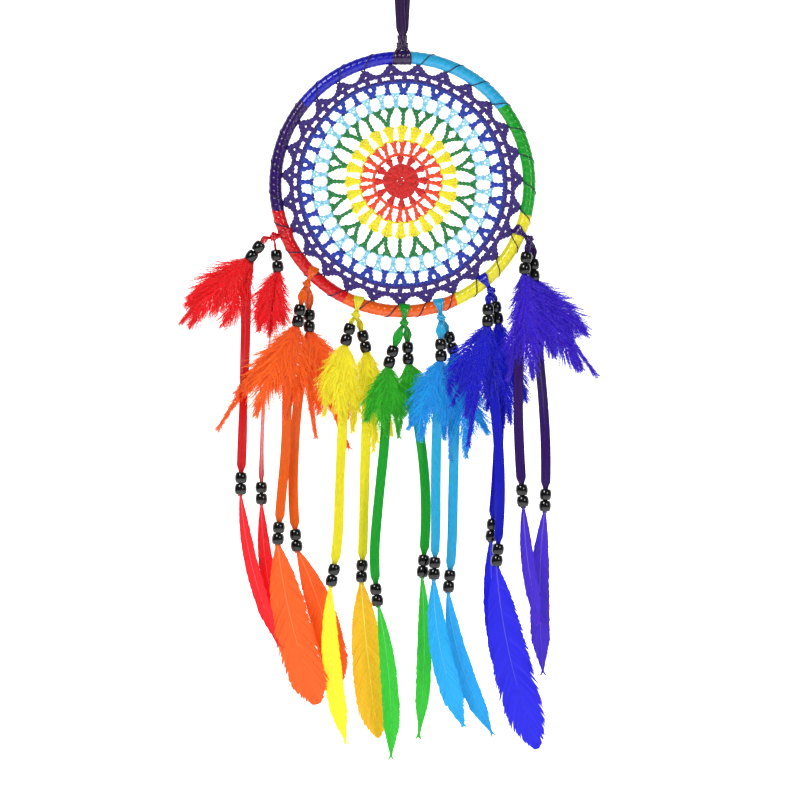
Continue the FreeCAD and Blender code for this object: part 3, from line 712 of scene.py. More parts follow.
def build_mandala(settings):
    """Seven rounds of crochet, from the red middle to the purple points."""
    thick = settings.yarn_width / MM
    # Red: a tight middle, then 12 stout posts with small gaps at their feet.
    red = [([(3.2, 0, 0), (8.0, 2, -.5), (15.4, 0, 0)], 1.9 * thick),
           ([(4.0, 13, .3), (7.0, 16, .3), (10.6, 15, .3)], 1.8 * thick),
           ([(13.6, -9, .2), (15.0, 0, .5), (13.6, 9, .2)], 1.0 * thick)]
    crochet("red", red, 12, 1.0,
            [chain(r, w, d) for r, w, d in ((1.1, 2.6, -.3), (3.2, 2.8, -.3), (5.6, 2.6, 0),
                                            (8.4, 2.0, .5))], settings, 1)
    # Orange: 24 posts in pairs that lean together, forked at their outer ends.
    orange = []
    for side in (-1, 1):
        orange += [([(15.2, side * 5.0, 0), (19.0, side * 6.0, -.4), (23.6, side * 7.4, 0)],
                    1.6 * thick),
                   ([(20.6, side * 6.6, -.5), (22.6, side * 4.6, -.2), (24.6, side * 3.6, 0)],
                    1.15 * thick),
                   ([(20.6, side * 7.4, -.5), (22.6, side * 9.6, -.2), (24.6, side * 11, 0)],
                    1.15 * thick)]
    crochet("orange", orange, 12, 4.0, [chain(16.2, 2.2, .5)], settings, 2)
    # Yellow: 24 fans, narrow inside and broad outside.
    yellow = [([(24.0, a * .15, 0), (28.5, a * .55, -.4), (32.8, a, 0)], 1.35 * thick)
              for a in (-4.2, 0.0, 4.2)]
    yellow.append(([(32.0, -5.6, .2), (33.4, -2, -.3), (33.4, 2, -.3), (32.0, 5.6, .2)],
                   1.1 * thick))
    yellow.append(([(25.0, -7.5, .5), (24.4, 0, .6), (25.0, 7.5, .5)], .8 * thick))
    crochet("yellow", yellow, 24, -91.0, [], settings, 3)
    # Green: in each of 12 sectors one post and one V, with forked outer ends.
    green = []
    for base, foot in ((0.0, 0.0), (15.0, 10.0), (15.0, 20.0)):
        green.append(([(33.2, base, 0), (37.5, base + (foot - base) * .35, -.4),
                       (42.8, foot, 0)], 1.45 * thick))
        for fork in (-3.0, 3.0):
            green.append(([(41.0, foot, -.3), (43.2, foot + fork * .5, -.4),
                           (45.2, foot + fork, 0)], 1.15 * thick))
        green.append(([(44.4, foot - 3.2, .3), (44.0, foot, .2), (44.4, foot + 3.2, .3)],
                      .95 * thick))
    crochet("green", green, 12, -91.0, [], settings, 4)
    # Sky: lacy zigzag columns of finer yarn between 36 round holes.
    fine = .7 * thick
    sky = []
    for side in (-1, 1):
        sky.append(([(45.0, 5 + side * 2.2, 0), (47.0, 5 - side * 1.2, -.3),
                     (49.2, 5 + side * 1.6, -.2), (51.4, 5 - side * 1.4, -.3),
                     (54.6, 5 + side * 2.4, 0)], fine))
        sky.append(([(44.8, 5 + side * 1.4, .4), (49.4, 5 + side * .7, .4),
                     (54.8, 5 + side * 3.4, .4)], fine))
    sky.append(([(54.4, 1.6, .1), (54.0, 5, -.4), (54.4, 8.4, .1)], fine))
    sky.append(([(45.6, 2.0, .1), (46.2, 5, -.4), (45.6, 8.0, .1)], fine))
    crochet("sky", sky, 36, -91.0, [chain(44.9, 1.0, .3)], settings, 5)
    # Blue: in each of 18 sectors one V and one post, of thick yarn.
    blue = []
    for base, foot in ((0.0, -3.33), (0.0, 3.33), (10.0, 10.0)):
        blue.append(([(54.0, base, 0), (57.4, (base + foot) / 2, -.5), (61.2, foot, 0)],
                     1.75 * thick))
        blue.append(([(53.6, base - 1.8, .3), (54.6, base, -.2), (53.6, base + 1.8, .3)],
                     1.4 * thick))
    crochet("blue", blue, 18, -91.0, [chain(61.1, 2.6, .4)], settings, 6)
    # Purple: two small holes to each of 27 points, with wide scallops between them.
    step = 360.0 / PEAKS
    purple = [([(61.2, a, 0), (63.8, a, -.3), (66.2, a * .96, 0)], 1.75 * thick)
              for a in (0.0, step / 2)]
    edge = [(66.4, -step / 2, 0), (66.8, -step * .36, -.1), (68.6, -step * .2, -.2),
            (71.0, -step * .06, 0), (71.0, step * .06, 0), (68.6, step * .2, -.2),
            (66.8, step * .36, -.1), (66.4, step / 2, 0)]
    purple.append((edge, 1.45 * thick))
    for side in (-1, 1):
        purple.append(([(66.4, side * step * .16, .4), (68.2, side * step * .09, .3),
                        (70.4, 0, .1)], 1.2 * thick))
    crochet("purple", purple, PEAKS, FIRST_PEAK,
            [chain(62.3, 2.2, .3), chain(66.2, 3.0, .2)], settings, 7)


def build_lacing(settings):
    """Thin dark thread that ties each point of the mandala to the ring."""
    builder = Builder()
    step = 360.0 / PEAKS
    across = 44
    thread = settings.thread_width
    line = []
    for i in range(across + 1):
        part = i / across
        phi = math.pi * (1 - 2 * part)
        # The thread leans 6 degrees as it crosses the front, and goes on behind the ring.
        angle = -6.0 * part * 2 if part < 0.5 else -6.0 - (step - 6.0) * (part - 0.5) * 2
        radius = WRAP_RADIUS + 0.22 * MM
        out = RING_RADIUS + radius * math.cos(phi)
        if abs(math.cos(phi) + 1) < 0.12:
            out -= 0.5 * MM
        turn = math.radians(angle)
        line.append((out * math.cos(turn), -radius * math.sin(phi), out * math.sin(turn)))
    strand(builder, line, thread, 3.0, 5)
    hitch = [(70.4, 1.2, -.9), (70.0, 0.2, -.2), (70.4, -.8, .9), (72.6, -.4, .5),
             (72.8, .4, -.5), (70.6, 1.0, -.9)]
    strand(builder, polar(hitch), thread * 0.9, 3.0, 5)
    material = finish_named("lacing_thread_navy", plain, "lacing_thread_navy", "1A1338", 0.7)
    mesh = repeat_round(builder.mesh("stitch"), PEAKS, FIRST_PEAK, material, "lacing_stitches")
    piece = place("lacing_stitches", mesh, material)
    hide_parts("lacing_thread")
    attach(piece, "hoop")


# ---- ribbon bands, knots and tails ----

def band(builder, path, widths, sideways, seed, crease=0.35):
    """A ribbon along a path, of changing width, with lengthwise creases where it narrows."""
    path = np.asarray(path, float)
    sideways = np.asarray(sideways, float)
    if sideways.ndim == 1:
        sideways = np.tile(sideways, (len(path), 1))
    sideways = sideways / np.linalg.norm(sideways, axis=1)[:, None]
    along = np.gradient(path, axis=0)
    along /= np.linalg.norm(along, axis=1)[:, None] + 1e-12
    normal = np.cross(along, sideways)
    columns = 15
    across = np.linspace(-0.5, 0.5, columns)
    at = np.concatenate([[0], np.cumsum(np.linalg.norm(np.diff(path, axis=0), axis=1))])
    ripple = noise(seed, (0.6, 2.2), (0.4, 4.1))
    fold = np.array([ripple(x) for x in across])
    full = 6.0 * MM
    rows, uvs = [], []
    for i in range(len(path)):
        gathered = 1 - min(widths[i] / full, 1.0)
        depth = crease * MM * (0.18 + 2.4 * gathered) * fold
        rows.append(path[i] + np.outer(across * widths[i], sideways[i])
                    + np.outer(depth, normal[i]))
        uvs.append(np.stack([np.full(columns, at[i]), (across + 0.5) * full], 1))
    builder.grid(rows, uvs)


def spine(points, count=64):
    """A smooth line through points in metres, by cubic steps between them."""
    points = np.asarray(points, float)
    t = np.linspace(0, len(points) - 1, count)
    i = np.clip(t.astype(int), 0, len(points) - 2)
    f = (t - i)[:, None]
    padded = np.vstack([2 * points[0] - points[1], points, 2 * points[-1] - points[-2]])
    a, b, c, d = (padded[i + k] for k in range(4))
    return 0.5 * (2 * b + (c - a) * f + (2 * a - 5 * b + 4 * c - d) * f ** 2
                  + (3 * b - a - 3 * c + d) * f ** 3)


def round_the_tube(angle, lean, reach, lift):
    """A closed teardrop round the ring's tube that comes to a point at the knot."""
    centre = np.asarray(on_ring(angle, RING_RADIUS))
    down = np.asarray(down_leaning(lean))
    radius = WRAP_RADIUS + lift
    line = [centre + down * reach + np.array([0, -0.5 * MM, 0])]
    for turn in np.linspace(-125, 125, 44):
        across = math.radians(turn)
        line.append(centre - down * radius * math.cos(across)
                    + np.array([0, radius * math.sin(across), 0]))
    line.append(centre + down * reach + np.array([0, 0.5 * MM, 0]))
    return np.asarray(line), down


def knot(builder, middle, down, width, size, seed):
    """A short bundle of ribbon wound tightly round its own ends."""
    sideways = np.cross(down, (0, 1, 0))
    for layer, (tilt, lift) in enumerate(((0.35, 0.0), (-0.4, 0.35 * MM))):
        axis = down * math.cos(tilt) + sideways * math.sin(tilt)
        flat = np.cross(axis, (0, 1, 0))
        turn = np.linspace(-0.3, 2 * math.pi + 0.1, 40)
        ring = middle + (size / 2 + lift) * (1.15 * np.cos(turn)[:, None] * flat
                                             + np.sin(turn)[:, None] * np.array([0, 1.0, 0]))
        widths = [width * (0.8 + 0.25 * abs(math.sin(t))) for t in turn]
        band(builder, ring, widths, axis, seed + layer, 0.5)


def build_ties(settings):
    """Seven ribbons tied round the ring, each with a small knot below it."""
    for number, colour in enumerate(COLOURS):
        angle, lean = TIES[colour]
        builder = Builder()
        line, down = round_the_tube(angle, lean, TIE_REACH - 0.5 * MM, 0.75 * MM)
        sideways = np.cross(down, (0, 1, 0))
        full = settings.ribbon_width
        part = np.linspace(0, 1, len(line))
        widths = [full * (0.42 + 0.62 * smooth_step(0, .3, p) * smooth_step(0, .3, 1 - p))
                  for p in part]
        band(builder, line, widths, sideways, number * 5 + 1)
        band(builder, line + down * 0.2 * MM, [w * 0.86 for w in widths],
             sideways + down * 0.12, number * 5 + 2, 0.5)
        middle = np.asarray(knot_middle(colour)) - down * 0.4 * MM
        knot(builder, middle, down, 3.4 * MM, 3.6 * MM, number * 7 + 3)
        piece = builder.piece(f"tied_ribbon_{colour}", satin_of(colour))
        modify(piece, "SOLIDIFY", thickness=0.25 * MM, offset=0)
        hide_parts(f"tie_{colour}")
        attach(piece, "hoop")


def build_top_knot(settings):
    """The hanging ribbon's lark's head round the top of the ring."""
    builder = Builder()
    top = np.asarray(RING_CENTRE) + np.array([0, 0, RING_RADIUS])
    tube = WRAP_RADIUS + 0.7 * MM
    for number, side in enumerate((-1, 1)):
        line, widths, across = [], [], []
        for turn in np.linspace(-150, 150, 40):
            angle = math.radians(turn)
            line.append(top + np.array([side * 2.7 * MM, -tube * math.sin(angle),
                                        -tube * math.cos(angle)]))
        front, back = ([top + np.array([side * x * MM, y * hand * MM, z * MM])
                        for x, y, z in ((0.5, 0.7, 13.2), (0.5, 0.9, 10.0), (1.0, 1.6, 7.0))]
                       for hand in (-1, 1))
        line = spine(back + line[::3] + front[::-1], 90)
        part = np.linspace(0, 1, len(line))
        widths = [(3.0 + 2.6 * smooth_step(.1, .3, p) * smooth_step(.1, .3, 1 - p)
                   + 2.2 * (1 - smooth_step(0, .14, min(p, 1 - p)))) * MM for p in part]
        band(builder, line, widths, (1, 0, 0), 90 + number, 0.5)
    turn = np.linspace(-0.2, 2 * math.pi + 0.1, 48)
    centre = top + np.array([0, 0, 6.6 * MM])
    ring = centre + np.stack([3.4 * MM * np.cos(turn), 1.9 * MM * np.sin(turn),
                              0.5 * MM * np.cos(2 * turn)], 1)
    band(builder, ring, [3.0 * MM + 0.8 * MM * abs(math.cos(t)) for t in turn], (0, 0, 1),
         95, 0.4)
    piece = builder.piece("larks_head", dark_satin())
    modify(piece, "SOLIDIFY", thickness=0.3 * MM, offset=0)
    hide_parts("lark_head_knot")
    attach(piece, "top_knot")


def smooth_line(name, points):
    """The points read from a NURBS spline that has these control points."""
    curve = bpy.data.curves.new(name, "CURVE")
    curve.dimensions = "3D"
    curve.resolution_u = 24
    spline = curve.splines.new("NURBS")
    spline.points.add(len(points) - 1)
    for point, at in zip(spline.points, points):
        point.co = (*at, 1.0)
    spline.order_u = 3
    spline.use_endpoint_u = True
    holder = bpy.data.objects.new(name, curve)
    bpy.context.scene.collection.objects.link(holder)
    bpy.context.view_layer.update()
    graph = bpy.context.evaluated_depsgraph_get()
    mesh = bpy.data.meshes.new_from_object(holder.evaluated_get(graph))
    line = np.array([vertex.co for vertex in mesh.vertices])
    bpy.data.objects.remove(holder)
    bpy.data.meshes.remove(mesh)
    return line


def tail_line(colour, points, plane):
    """A tail's smooth line in the row frame."""
    start = knot_middle(colour)
    return smooth_line("tail_route", [(start.x + x, plane, start.z + z) for x, z in points])


def bead_pair(colour, level, plane):
    """The middle and downward axis of a tail's two beads, from their CAD node."""
    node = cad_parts[f"{colour}_{level}_beads"]
    points = np.array([vertex.co for vertex in node.data.vertices])
    points = points[points[:, 1] * plane > 0]
    middle = (points.min(0) + points.max(0)) / 2
    axis = np.linalg.eigh(np.cov((points - points.mean(0)).T))[1][:, -1]
    return middle, axis if axis[2] < 0 else -axis


def bead_mouth(colour, level, plane):
    middle, axis = bead_pair(colour, level, plane)
    return middle + axis * HALF_PAIR


TAILS = [(colour, end, routes[colour], plane)
         for colour in COLOURS
         for end, routes, plane in (("front", FRONT_TAILS, -TAIL_PLANE),
                                    ("rear", REAR_TAILS, TAIL_PLANE))]

# How far each tail is turned away from facing forwards, in degrees, at its top and its foot.
TAIL_TURNS = {
    "red_front": (8, 30), "red_rear": (78, 62), "orange_front": (-12, 20),
    "orange_rear": (25, -15), "yellow_front": (14, -20), "yellow_rear": (-24, 12),
    "green_front": (-10, 28), "green_rear": (20, -22), "sky_front": (16, -18),
    "sky_rear": (-20, 24), "blue_front": (6, -26), "blue_rear": (-28, 14),
    "purple_front": (22, -14), "purple_rear": (-12, 24),
}


def build_beads(settings):
    """Two glossy black barrel beads at the top of each plume, and two above each feather."""
    gloss = finish_named("glossy_black_bead", plain, "glossy_black_bead", "030405", 0.08, 0.15)
    around = 28
    profile = [(1.55, -3.18), (1.9, -3.3), (2.5, -3.3), (2.92, -3.12), (3.32, -2.3),
               (3.62, -1.1), (3.7, 0), (3.62, 1.1), (3.32, 2.3), (2.92, 3.12), (2.5, 3.3),
               (1.9, 3.3), (1.55, 3.18), (1.5, 0), (1.55, -3.18)]
    turn = np.linspace(0, 2 * math.pi, around, endpoint=False)
    for colour, end, _route, plane in TAILS:
        for level in ("upper", "lower"):
            middle, axis = bead_pair(colour, level, plane)
            side = np.cross(axis, (0, 1, 0))
            side /= np.linalg.norm(side)
            deep = np.cross(side, axis)
            builder = Builder()
            for step in (-1, 1):
                centre = middle + axis * step * (BEAD_LENGTH + BEAD_GAP) / 2
                rows = [centre + axis * z * MM + r * MM * (
                    np.cos(turn)[:, None] * side + np.sin(turn)[:, None] * deep)
                    for r, z in profile]
                builder.grid(rows, np.zeros((len(profile), around, 2)), wrap=True)
            piece = builder.piece(f"beads_{colour}_{end}_{level}", gloss)
            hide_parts(f"{colour}_{level}_beads")
            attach(piece, f"{colour}_strand")


def build_tails(settings):
    """Two satin tails below each knot, flat between the beads and bunched inside them."""
    full = settings.ribbon_width
    for number, (colour, end, route, plane) in enumerate(TAILS):
        line = tail_line(colour, route, plane)
        start = knot_middle(colour)
        # The line bends in from the knot to the plane that its tail hangs in.
        steps = np.linalg.norm(np.diff(line, axis=0), axis=1)
        at = np.concatenate([[0], np.cumsum(steps)])
        count = 150
        s = np.linspace(0, at[-1], count)
        points = np.stack([np.interp(s, at, line[:, i]) for i in range(3)], 1)
        middles = [bead_pair(colour, level, plane)[0] for level in ("upper", "lower")]
        marks = [s[np.argmin(np.linalg.norm(points - middle, axis=1))] for middle in middles]
        along = np.gradient(points, axis=0)
        along /= np.linalg.norm(along, axis=1)[:, None]
        sway = noise(number + 11, (0.16, 7.0), (0.08, 15.0))
        first, last = TAIL_TURNS[f"{colour}_{end}"]
        widths, sideways = [], []
        for k in range(count):
            width = full * (0.6 + 0.4 * smooth_step(0, 4 * MM, s[k]))
            for mark in marks:
                away = abs(s[k] - mark) - HALF_PAIR
                width = min(width, full * (0.52 + 0.48 * smooth_step(0, 5 * MM, away)))
            widths.append(width)
            turn = math.radians(first + (last - first) * s[k] / s[-1]) + sway(s[k]) * 1.2
            flat = np.cross(along[k], (0, 1, 0))
            flat /= np.linalg.norm(flat)
            deep = np.cross(flat, along[k])
            sideways.append(flat * math.cos(turn) + deep * math.sin(turn))
        # A short run joins the tail to its knot, which its own line starts beside.
        back = np.asarray(start) + np.array([0, plane * 0.1, -0.6 * MM]) - points[0]
        back *= min(1.0, 4.8 * MM / np.linalg.norm(back))
        lead = [points[0] + back, points[0] + back / 2]
        builder = Builder()
        band(builder, np.vstack([lead, points]), [0.42 * full, 0.5 * full] + widths,
             np.array(sideways[:1] * 2 + sideways), number + 60)
        piece = builder.piece(f"tail_{colour}_{end}", satin_of(colour))
        modify(piece, "SOLIDIFY", thickness=0.22 * MM, offset=0)
        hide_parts(f"{colour}_ribbon_tails")
        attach(piece, f"{colour}_strand")


def build_hanging_loop(settings):
    """The purple ribbon loop from the lark's head up over the nail."""
    foot, nail = -91.4 * MM, -2.5 * MM
    points = [(-.0005, 0, foot), (-.0012, 0, -.0780), (-.0025, 0, -.0560), (-.0034, 0, -.0330),
              (-.0037, 0, -.0140), (-.0036, 0, nail), (-.0026, 0, .0016), (.0026, 0, .0016),
              (.0036, 0, nail), (.0037, 0, -.0140), (.0034, 0, -.0330), (.0025, 0, -.0560),
              (.0012, 0, -.0780), (.0005, 0, foot)]
    line = smooth_line("loop_route", points)
    steps = np.linalg.norm(np.diff(line, axis=0), axis=1)
    at = np.concatenate([[0], np.cumsum(steps)])
    count = 170
    s = np.linspace(0, at[-1], count)
    route = np.stack([np.interp(s, at, line[:, i]) for i in range(3)], 1)
    sideways, widths = [], []
    sway = noise(5, (0.10, 6.0))
    for k in range(count):
        # Face on above the knot, turned a quarter to lie flat over the nail.
        rise = (route[k][2] - foot) / -foot
        turn = math.pi / 2 * smooth_step(0.34, 0.9, rise) + sway(s[k])
        hand = 1 if k < count / 2 else -1
        sideways.append(np.array([math.cos(turn), hand * math.sin(turn) * hand, 0]))
        widths.append(settings.ribbon_width * (0.5 + 0.5 * smooth_step(0, 0.06, rise)))
    # The two legs lie one behind the other where they face forwards.
    for k in range(count):
        rise = (route[k][2] - foot) / -foot
        hand = -1 if k < count / 2 else 1
        route[k][1] += hand * 0.5 * MM * (1 - smooth_step(0.3, 0.8, rise))
    builder = Builder()
    band(builder, route, widths, np.array(sideways), 77, 0.3)
    piece = builder.piece("hanging_loop", dark_satin())
    modify(piece, "SOLIDIFY", thickness=0.3 * MM, offset=0)
    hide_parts("hanging_ribbon")
    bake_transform(piece)


# ---- feathers ----

# Each bunch: lean in degrees, length and width in mm, for the feather that shows most.
BUNCHES = {
    "red_front": (-38, 56, 26), "red_rear": (-8, 40, 24), "orange_front": (-22, 62, 28),
    "orange_rear": (20, 60, 26), "yellow_front": (-5, 48, 18), "yellow_rear": (4, 60, 20),
    "green_front": (-3, 42, 18), "green_rear": (4, 38, 18), "sky_front": (-12, 50, 22),
    "sky_rear": (8, 68, 24), "blue_front": (-16, 60, 22), "blue_rear": (5, 66, 24),
    "purple_front": (5, 66, 26), "purple_rear": (29, 62, 26),
}
# Longer, narrower feathers that stray out of some bunches: lean, length and width.
STRAYS = {
    "red_front": [(-46, 64, 13), (-56, 50, 10)], "red_rear": [(-18, 44, 10)],
    "orange_front": [(-37, 90, 15), (-42, 60, 20), (-8, 62, 14)],
    "orange_rear": [(25, 54, 15), (4, 74, 13), (19, 86, 13)],
    "yellow_front": [(-16, 52, 10)], "yellow_rear": [(4, 70, 10), (16, 62, 9)],
    "green_front": [(9, 50, 9)], "green_rear": [(-8, 46, 9)],
    "sky_front": [(-26, 52, 13)], "sky_rear": [(-2, 73, 12)],
    "blue_front": [(-9, 84, 13), (-24, 60, 13)], "blue_rear": [(2, 72, 13)],
    "purple_front": [(-9, 74, 13)], "purple_rear": [(28, 70, 13), (33, 80, 10)],
}
# Each long feather: lean, length and width, and its sideways bow, in degrees and mm.
LONG_FEATHERS = {
    "red_front": (14.3, 99, 12, -4), "red_rear": (8.6, 92, 13, -3),
    "orange_front": (13.7, 99, 27, -3), "orange_rear": (17, 87, 21, 3),
    "yellow_front": (5.7, 99, 15, -4), "yellow_rear": (6.2, 95, 24, -1),
    "green_front": (4.6, 96, 14, 3), "green_rear": (-1.3, 102, 13, 2.5),
    "sky_front": (11.5, 93, 17, -4.5), "sky_rear": (17.5, 94, 15, -5.5),
    "blue_front": (12.5, 114, 27, -4), "blue_rear": (5.4, 89, 16, -2),
    "purple_front": (8, 74, 12, -2), "purple_rear": (-.5, 102, 16, -2.5),
}


def fluffy_barb():
    """A thin curling barb, 1 long, with fine barbules on all sides."""
    builder = Builder()
    steps = np.linspace(0, 1, 9)
    middle = np.stack([steps, 0.05 * np.sin(steps * 5.2), -0.30 * steps ** 2
                       + 0.04 * np.sin(steps * 7)], 1)
    half = (0.034 * (1 - steps) ** 0.7 + 0.004)[:, None]
    rows = np.stack([middle - half * (0, 0, 1), middle + half * (0, 0, 1)], 1)
    builder.grid(rows, np.stack([np.stack([steps, steps * 0], 1),
                                 np.stack([steps, steps * 0 + 0.02], 1)], 1))
    draw = random.Random(4)
    for k in range(22):
        at = 0.06 + 0.92 * k / 22
        root = np.array([np.interp(at, steps, middle[:, i]) for i in range(3)])
        spin = draw.uniform(0, 2 * math.pi)
        reach = draw.uniform(0.09, 0.17) * (1.1 - 0.6 * at)
        tip = root + np.array([reach * 0.75, math.cos(spin) * reach, math.sin(spin) * reach])
        waist = (root + tip) / 2 + np.array([0, 0, 0.01])
        edge = np.array([-0.2, -math.sin(spin), math.cos(spin)]) * 0.016
        builder.add([root, waist + edge, tip, waist - edge], [(0, 1, 2, 3)],
                    [(at, 0)] * 4)
    return builder.mesh("fluffy_barb")


def vane_barb():
    """A flat barb, 1 long and 1 wide, that curves towards the feather's tip."""
    builder = Builder()
    steps = np.linspace(0, 1, 8)
    middle = np.stack([steps, 0.35 * steps ** 2, -2.2 * steps ** 2], 1)
    half = (0.62 * (1 - 0.75 * steps ** 4))[:, None]
    rows = np.stack([middle - half * (0, 0, 1), middle + half * (0, 0, 1)], 1)
    builder.grid(rows, np.stack([np.stack([steps, steps * 0], 1),
                                 np.stack([steps, steps * 0 + 0.3], 1)], 1))
    return builder.mesh("vane_barb")


def shaft_rows(length, thick, sides=7):
    """A straight tapered shaft down from the origin, as rows of points."""
    turn = np.linspace(0, 2 * math.pi, sides, endpoint=False)
    rows = []
    for part in np.linspace(-0.04, 1, 26):
        radius = thick * (1.05 - 0.9 * max(part, 0))
        rows.append(np.stack([radius * np.cos(turn), radius * np.sin(turn),
                              np.full(sides, -part * length)], 1))
    return np.asarray(rows)


def add_feather(builder, barb, group_values, lean, bow, twist, root, thick):
    """Adds one feather to a builder: its barbs by Geometry Nodes, and its shaft."""
    mesh = use_group(barb.copy(), barbs_down_a_quill(), group_values, "feather")
    points, faces, uvs = mesh_arrays(mesh)
    bpy.data.meshes.remove(mesh)
    builder.add(bent(points, lean, bow, twist, root), faces, uvs)
    rows = shaft_rows(group_values["Quill length"], thick)
    shape = rows.shape
    moved = bent(rows.reshape(-1, 3), lean, bow, twist, root).reshape(shape)
    first = len(builder.faces)
    builder.grid(moved, np.zeros((*shape[:2], 2)), wrap=True, caps=True)
    builder.shafts += range(first, len(builder.faces))


def build_plumes(settings):
    """A bunch of fluffy marabou feathers below each upper pair of beads."""
    barb = fluffy_barb()
    for number, (colour, end, _route, plane) in enumerate(TAILS):
        label = f"{colour}_{end}"
        material = plume_of(colour)
        root = bead_mouth(colour, "upper", plane) + np.array([0, 0, 1.0 * MM])
        draw = random.Random(number + 100)
        lean, length, width = BUNCHES[label]
        feathers = [(lean + shift + draw.uniform(-3, 3),
                     length * part * draw.uniform(0.94, 1.04), width * 0.72, 62, 16, 1.0, .45)
                    for shift, part in ((0, 1.08), (-15, 0.9), (15, 0.84), (3, 0.7))]
        feathers += [(lean, length, width * 0.7, 44, 16, 0.7, .28)
                     for lean, length, width in STRAYS[label]]
        builder = Builder()
        for k, (lean, length, reach, first, last, fluff, blunt) in enumerate(feathers):
            deep = (k % 3 - 1) * 1.6 * MM + math.copysign(0.6 * MM, plane)
            values = {
                "Count": int(settings.plume_barbs * (0.6 + 0.4 * length / 60)),
                "Quill length": length * 0.86 * MM, "Barb length": reach * MM,
                "Barb width": 11.0 * MM, "First angle": math.radians(first),
                "Last angle": math.radians(last), "Fluff": settings.fluff * fluff,
                "Roll": 1.3, "Fullness": 0.5, "Bluntness": blunt, "Seed": number * 9 + k,
                "Material": material}
            add_feather(builder, barb, values, lean, (draw.uniform(-3, 3) * MM, deep),
                        draw.uniform(-0.7, 0.7), root + np.array([0, deep * 0.25, 0]),
                        0.28 * MM)
        piece = builder.piece(f"plume_{label}", material)
        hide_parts(f"{colour}_plumes")
        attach(piece, f"{colour}_strand")


def build_long_feathers(settings):
    """One long smooth feather below each lower pair of beads."""
    barb = vane_barb()
    for number, (colour, end, _route, plane) in enumerate(TAILS):
        lean, length, width, bow = LONG_FEATHERS[f"{colour}_{end}"]
        golden = (colour, end) == ("yellow", "rear")
        material = vane_of("golden", GOLDEN_FEATHER) if golden else vane_of(colour)
        root = bead_mouth(colour, "lower", plane) + np.array([0, 0, 1.0 * MM])
        values = {
            "Count": settings.vane_barbs, "Quill length": length * 0.95 * MM,
            "Barb length": width * 0.95 * MM, "Barb width": 1.5 * MM,
            "First angle": math.radians(62), "Last angle": math.radians(20),
            "Fluff": 0.08, "Roll": 0.16, "Fullness": 0.68, "Bluntness": 0.5,
            "Seed": number + 31,
            "Material": material}
        builder = Builder()
        add_feather(builder, barb, values, lean, (bow * MM, (-2 if plane < 0 else 2) * MM),
                    0.35 if number % 2 else -0.3, root, 0.42 * MM)
        piece = builder.piece(f"quill_{colour}_{end}", material, shaft=shaft_of(colour))
        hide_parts(f"{colour}_quills")
        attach(piece, f"{colour}_strand")


# ---- the stage ----

def build_stage(settings):
    """White wall, floor and soft light, and a long-lens camera."""
    scene = bpy.context.scene
    world = bpy.data.worlds.new("white_room")
    scene.world = world
    world.use_nodes = True
    world.node_tree.nodes["Background"].inputs["Color"].default_value = (1, 1, 1, 1)
    world.node_tree.nodes["Background"].inputs["Strength"].default_value = settings.room_light
    lens = bpy.data.cameras.new("long_lens")
    lens.lens = 180.0
    lens.sensor_width = 36.0
    camera = bpy.data.objects.new("camera", lens)
    camera.location = (-1.4 * MM, -settings.camera_distance, -309.4 * MM)
    camera.rotation_euler = (math.pi / 2, 0, 0)
    scene.collection.objects.link(camera)
    scene.camera = camera
    for name, place_at, turn, energy, size in (
            ("key_light", (-0.8, -1.5, 0.7), (58, 0, -28), 20.0, 0.6),
            ("fill_light", (1.1, -1.4, 0.1), (76, 0, 40), 6.0, 0.4)):
        light = bpy.data.lights.new(name, "AREA")
        light.energy = energy
        light.size = size
        lamp = bpy.data.objects.new(name, light)
        lamp.location = place_at
        lamp.rotation_euler = [math.radians(a) for a in turn]
        scene.collection.objects.link(lamp)
    paper = plain("white_backdrop", "FFFFFF", 0.9)
    glow = paper.node_tree.nodes["Principled BSDF"].inputs
    glow["Emission Color"].default_value = (1, 1, 1, 1)
    glow["Emission Strength"].default_value = 0.8
    for name, corners in (
            ("backdrop_wall", [(-3, 0.7, -2), (3, 0.7, -2), (3, 0.7, 2), (-3, 0.7, 2)]),
            ("backdrop_floor", [(-3, -3, -0.95), (3, -3, -0.95), (3, 0.7, -0.95),
                                (-3, 0.7, -0.95)])):
        sheet = Builder()
        sheet.add(corners, [(0, 1, 2, 3)])
        sheet.piece(name, paper, smooth=False)
    scene.view_settings.view_transform = "Standard"


# ---- settings, operators and panel ----

def length_setting(name, description, default):
    return bpy.props.FloatProperty(name=name, description=description, default=default,
                                   min=0.0, precision=5, unit="LENGTH", subtype="DISTANCE")


class RibbonSettings(bpy.types.PropertyGroup):
    ribbon_width: length_setting("Ribbon width", "Width of the flat satin ribbon", 6.0 * MM)
    wrap_pitch: length_setting("Wrap pitch", "Step from one turn of wrapping to the next",
                               4.0 * MM)


class CrochetSettings(bpy.types.PropertyGroup):
    yarn_width: length_setting("Yarn width", "Width of the thick crochet cotton", 1.9 * MM)
    thread_width: length_setting("Thread width", "Width of the lacing thread", 0.75 * MM)
    twist_pitch: bpy.props.FloatProperty(
        name="Twist pitch", description="Length of one twist of the yarn, in yarn widths",
        default=1.7, min=1.0, max=6.0)
    wobble: bpy.props.FloatProperty(
        name="Wobble", description="How far hand work pulls out of true, in millimetres",
        default=0.35, min=0.0, max=1.0)


class FeatherSettings(bpy.types.PropertyGroup):
    plume_barbs: bpy.props.IntProperty(
        name="Barbs in a plume", description="Barbs in one fluffy feather", default=210, min=20,
        max=400)
    vane_barbs: bpy.props.IntProperty(
        name="Barbs in a long feather", description="Barbs in one long feather", default=260,
        min=40, max=600)
    fluff: bpy.props.FloatProperty(
        name="Fluff", description="How far the plumes' barbs stray", default=0.6, min=0.0,
        max=1.0)


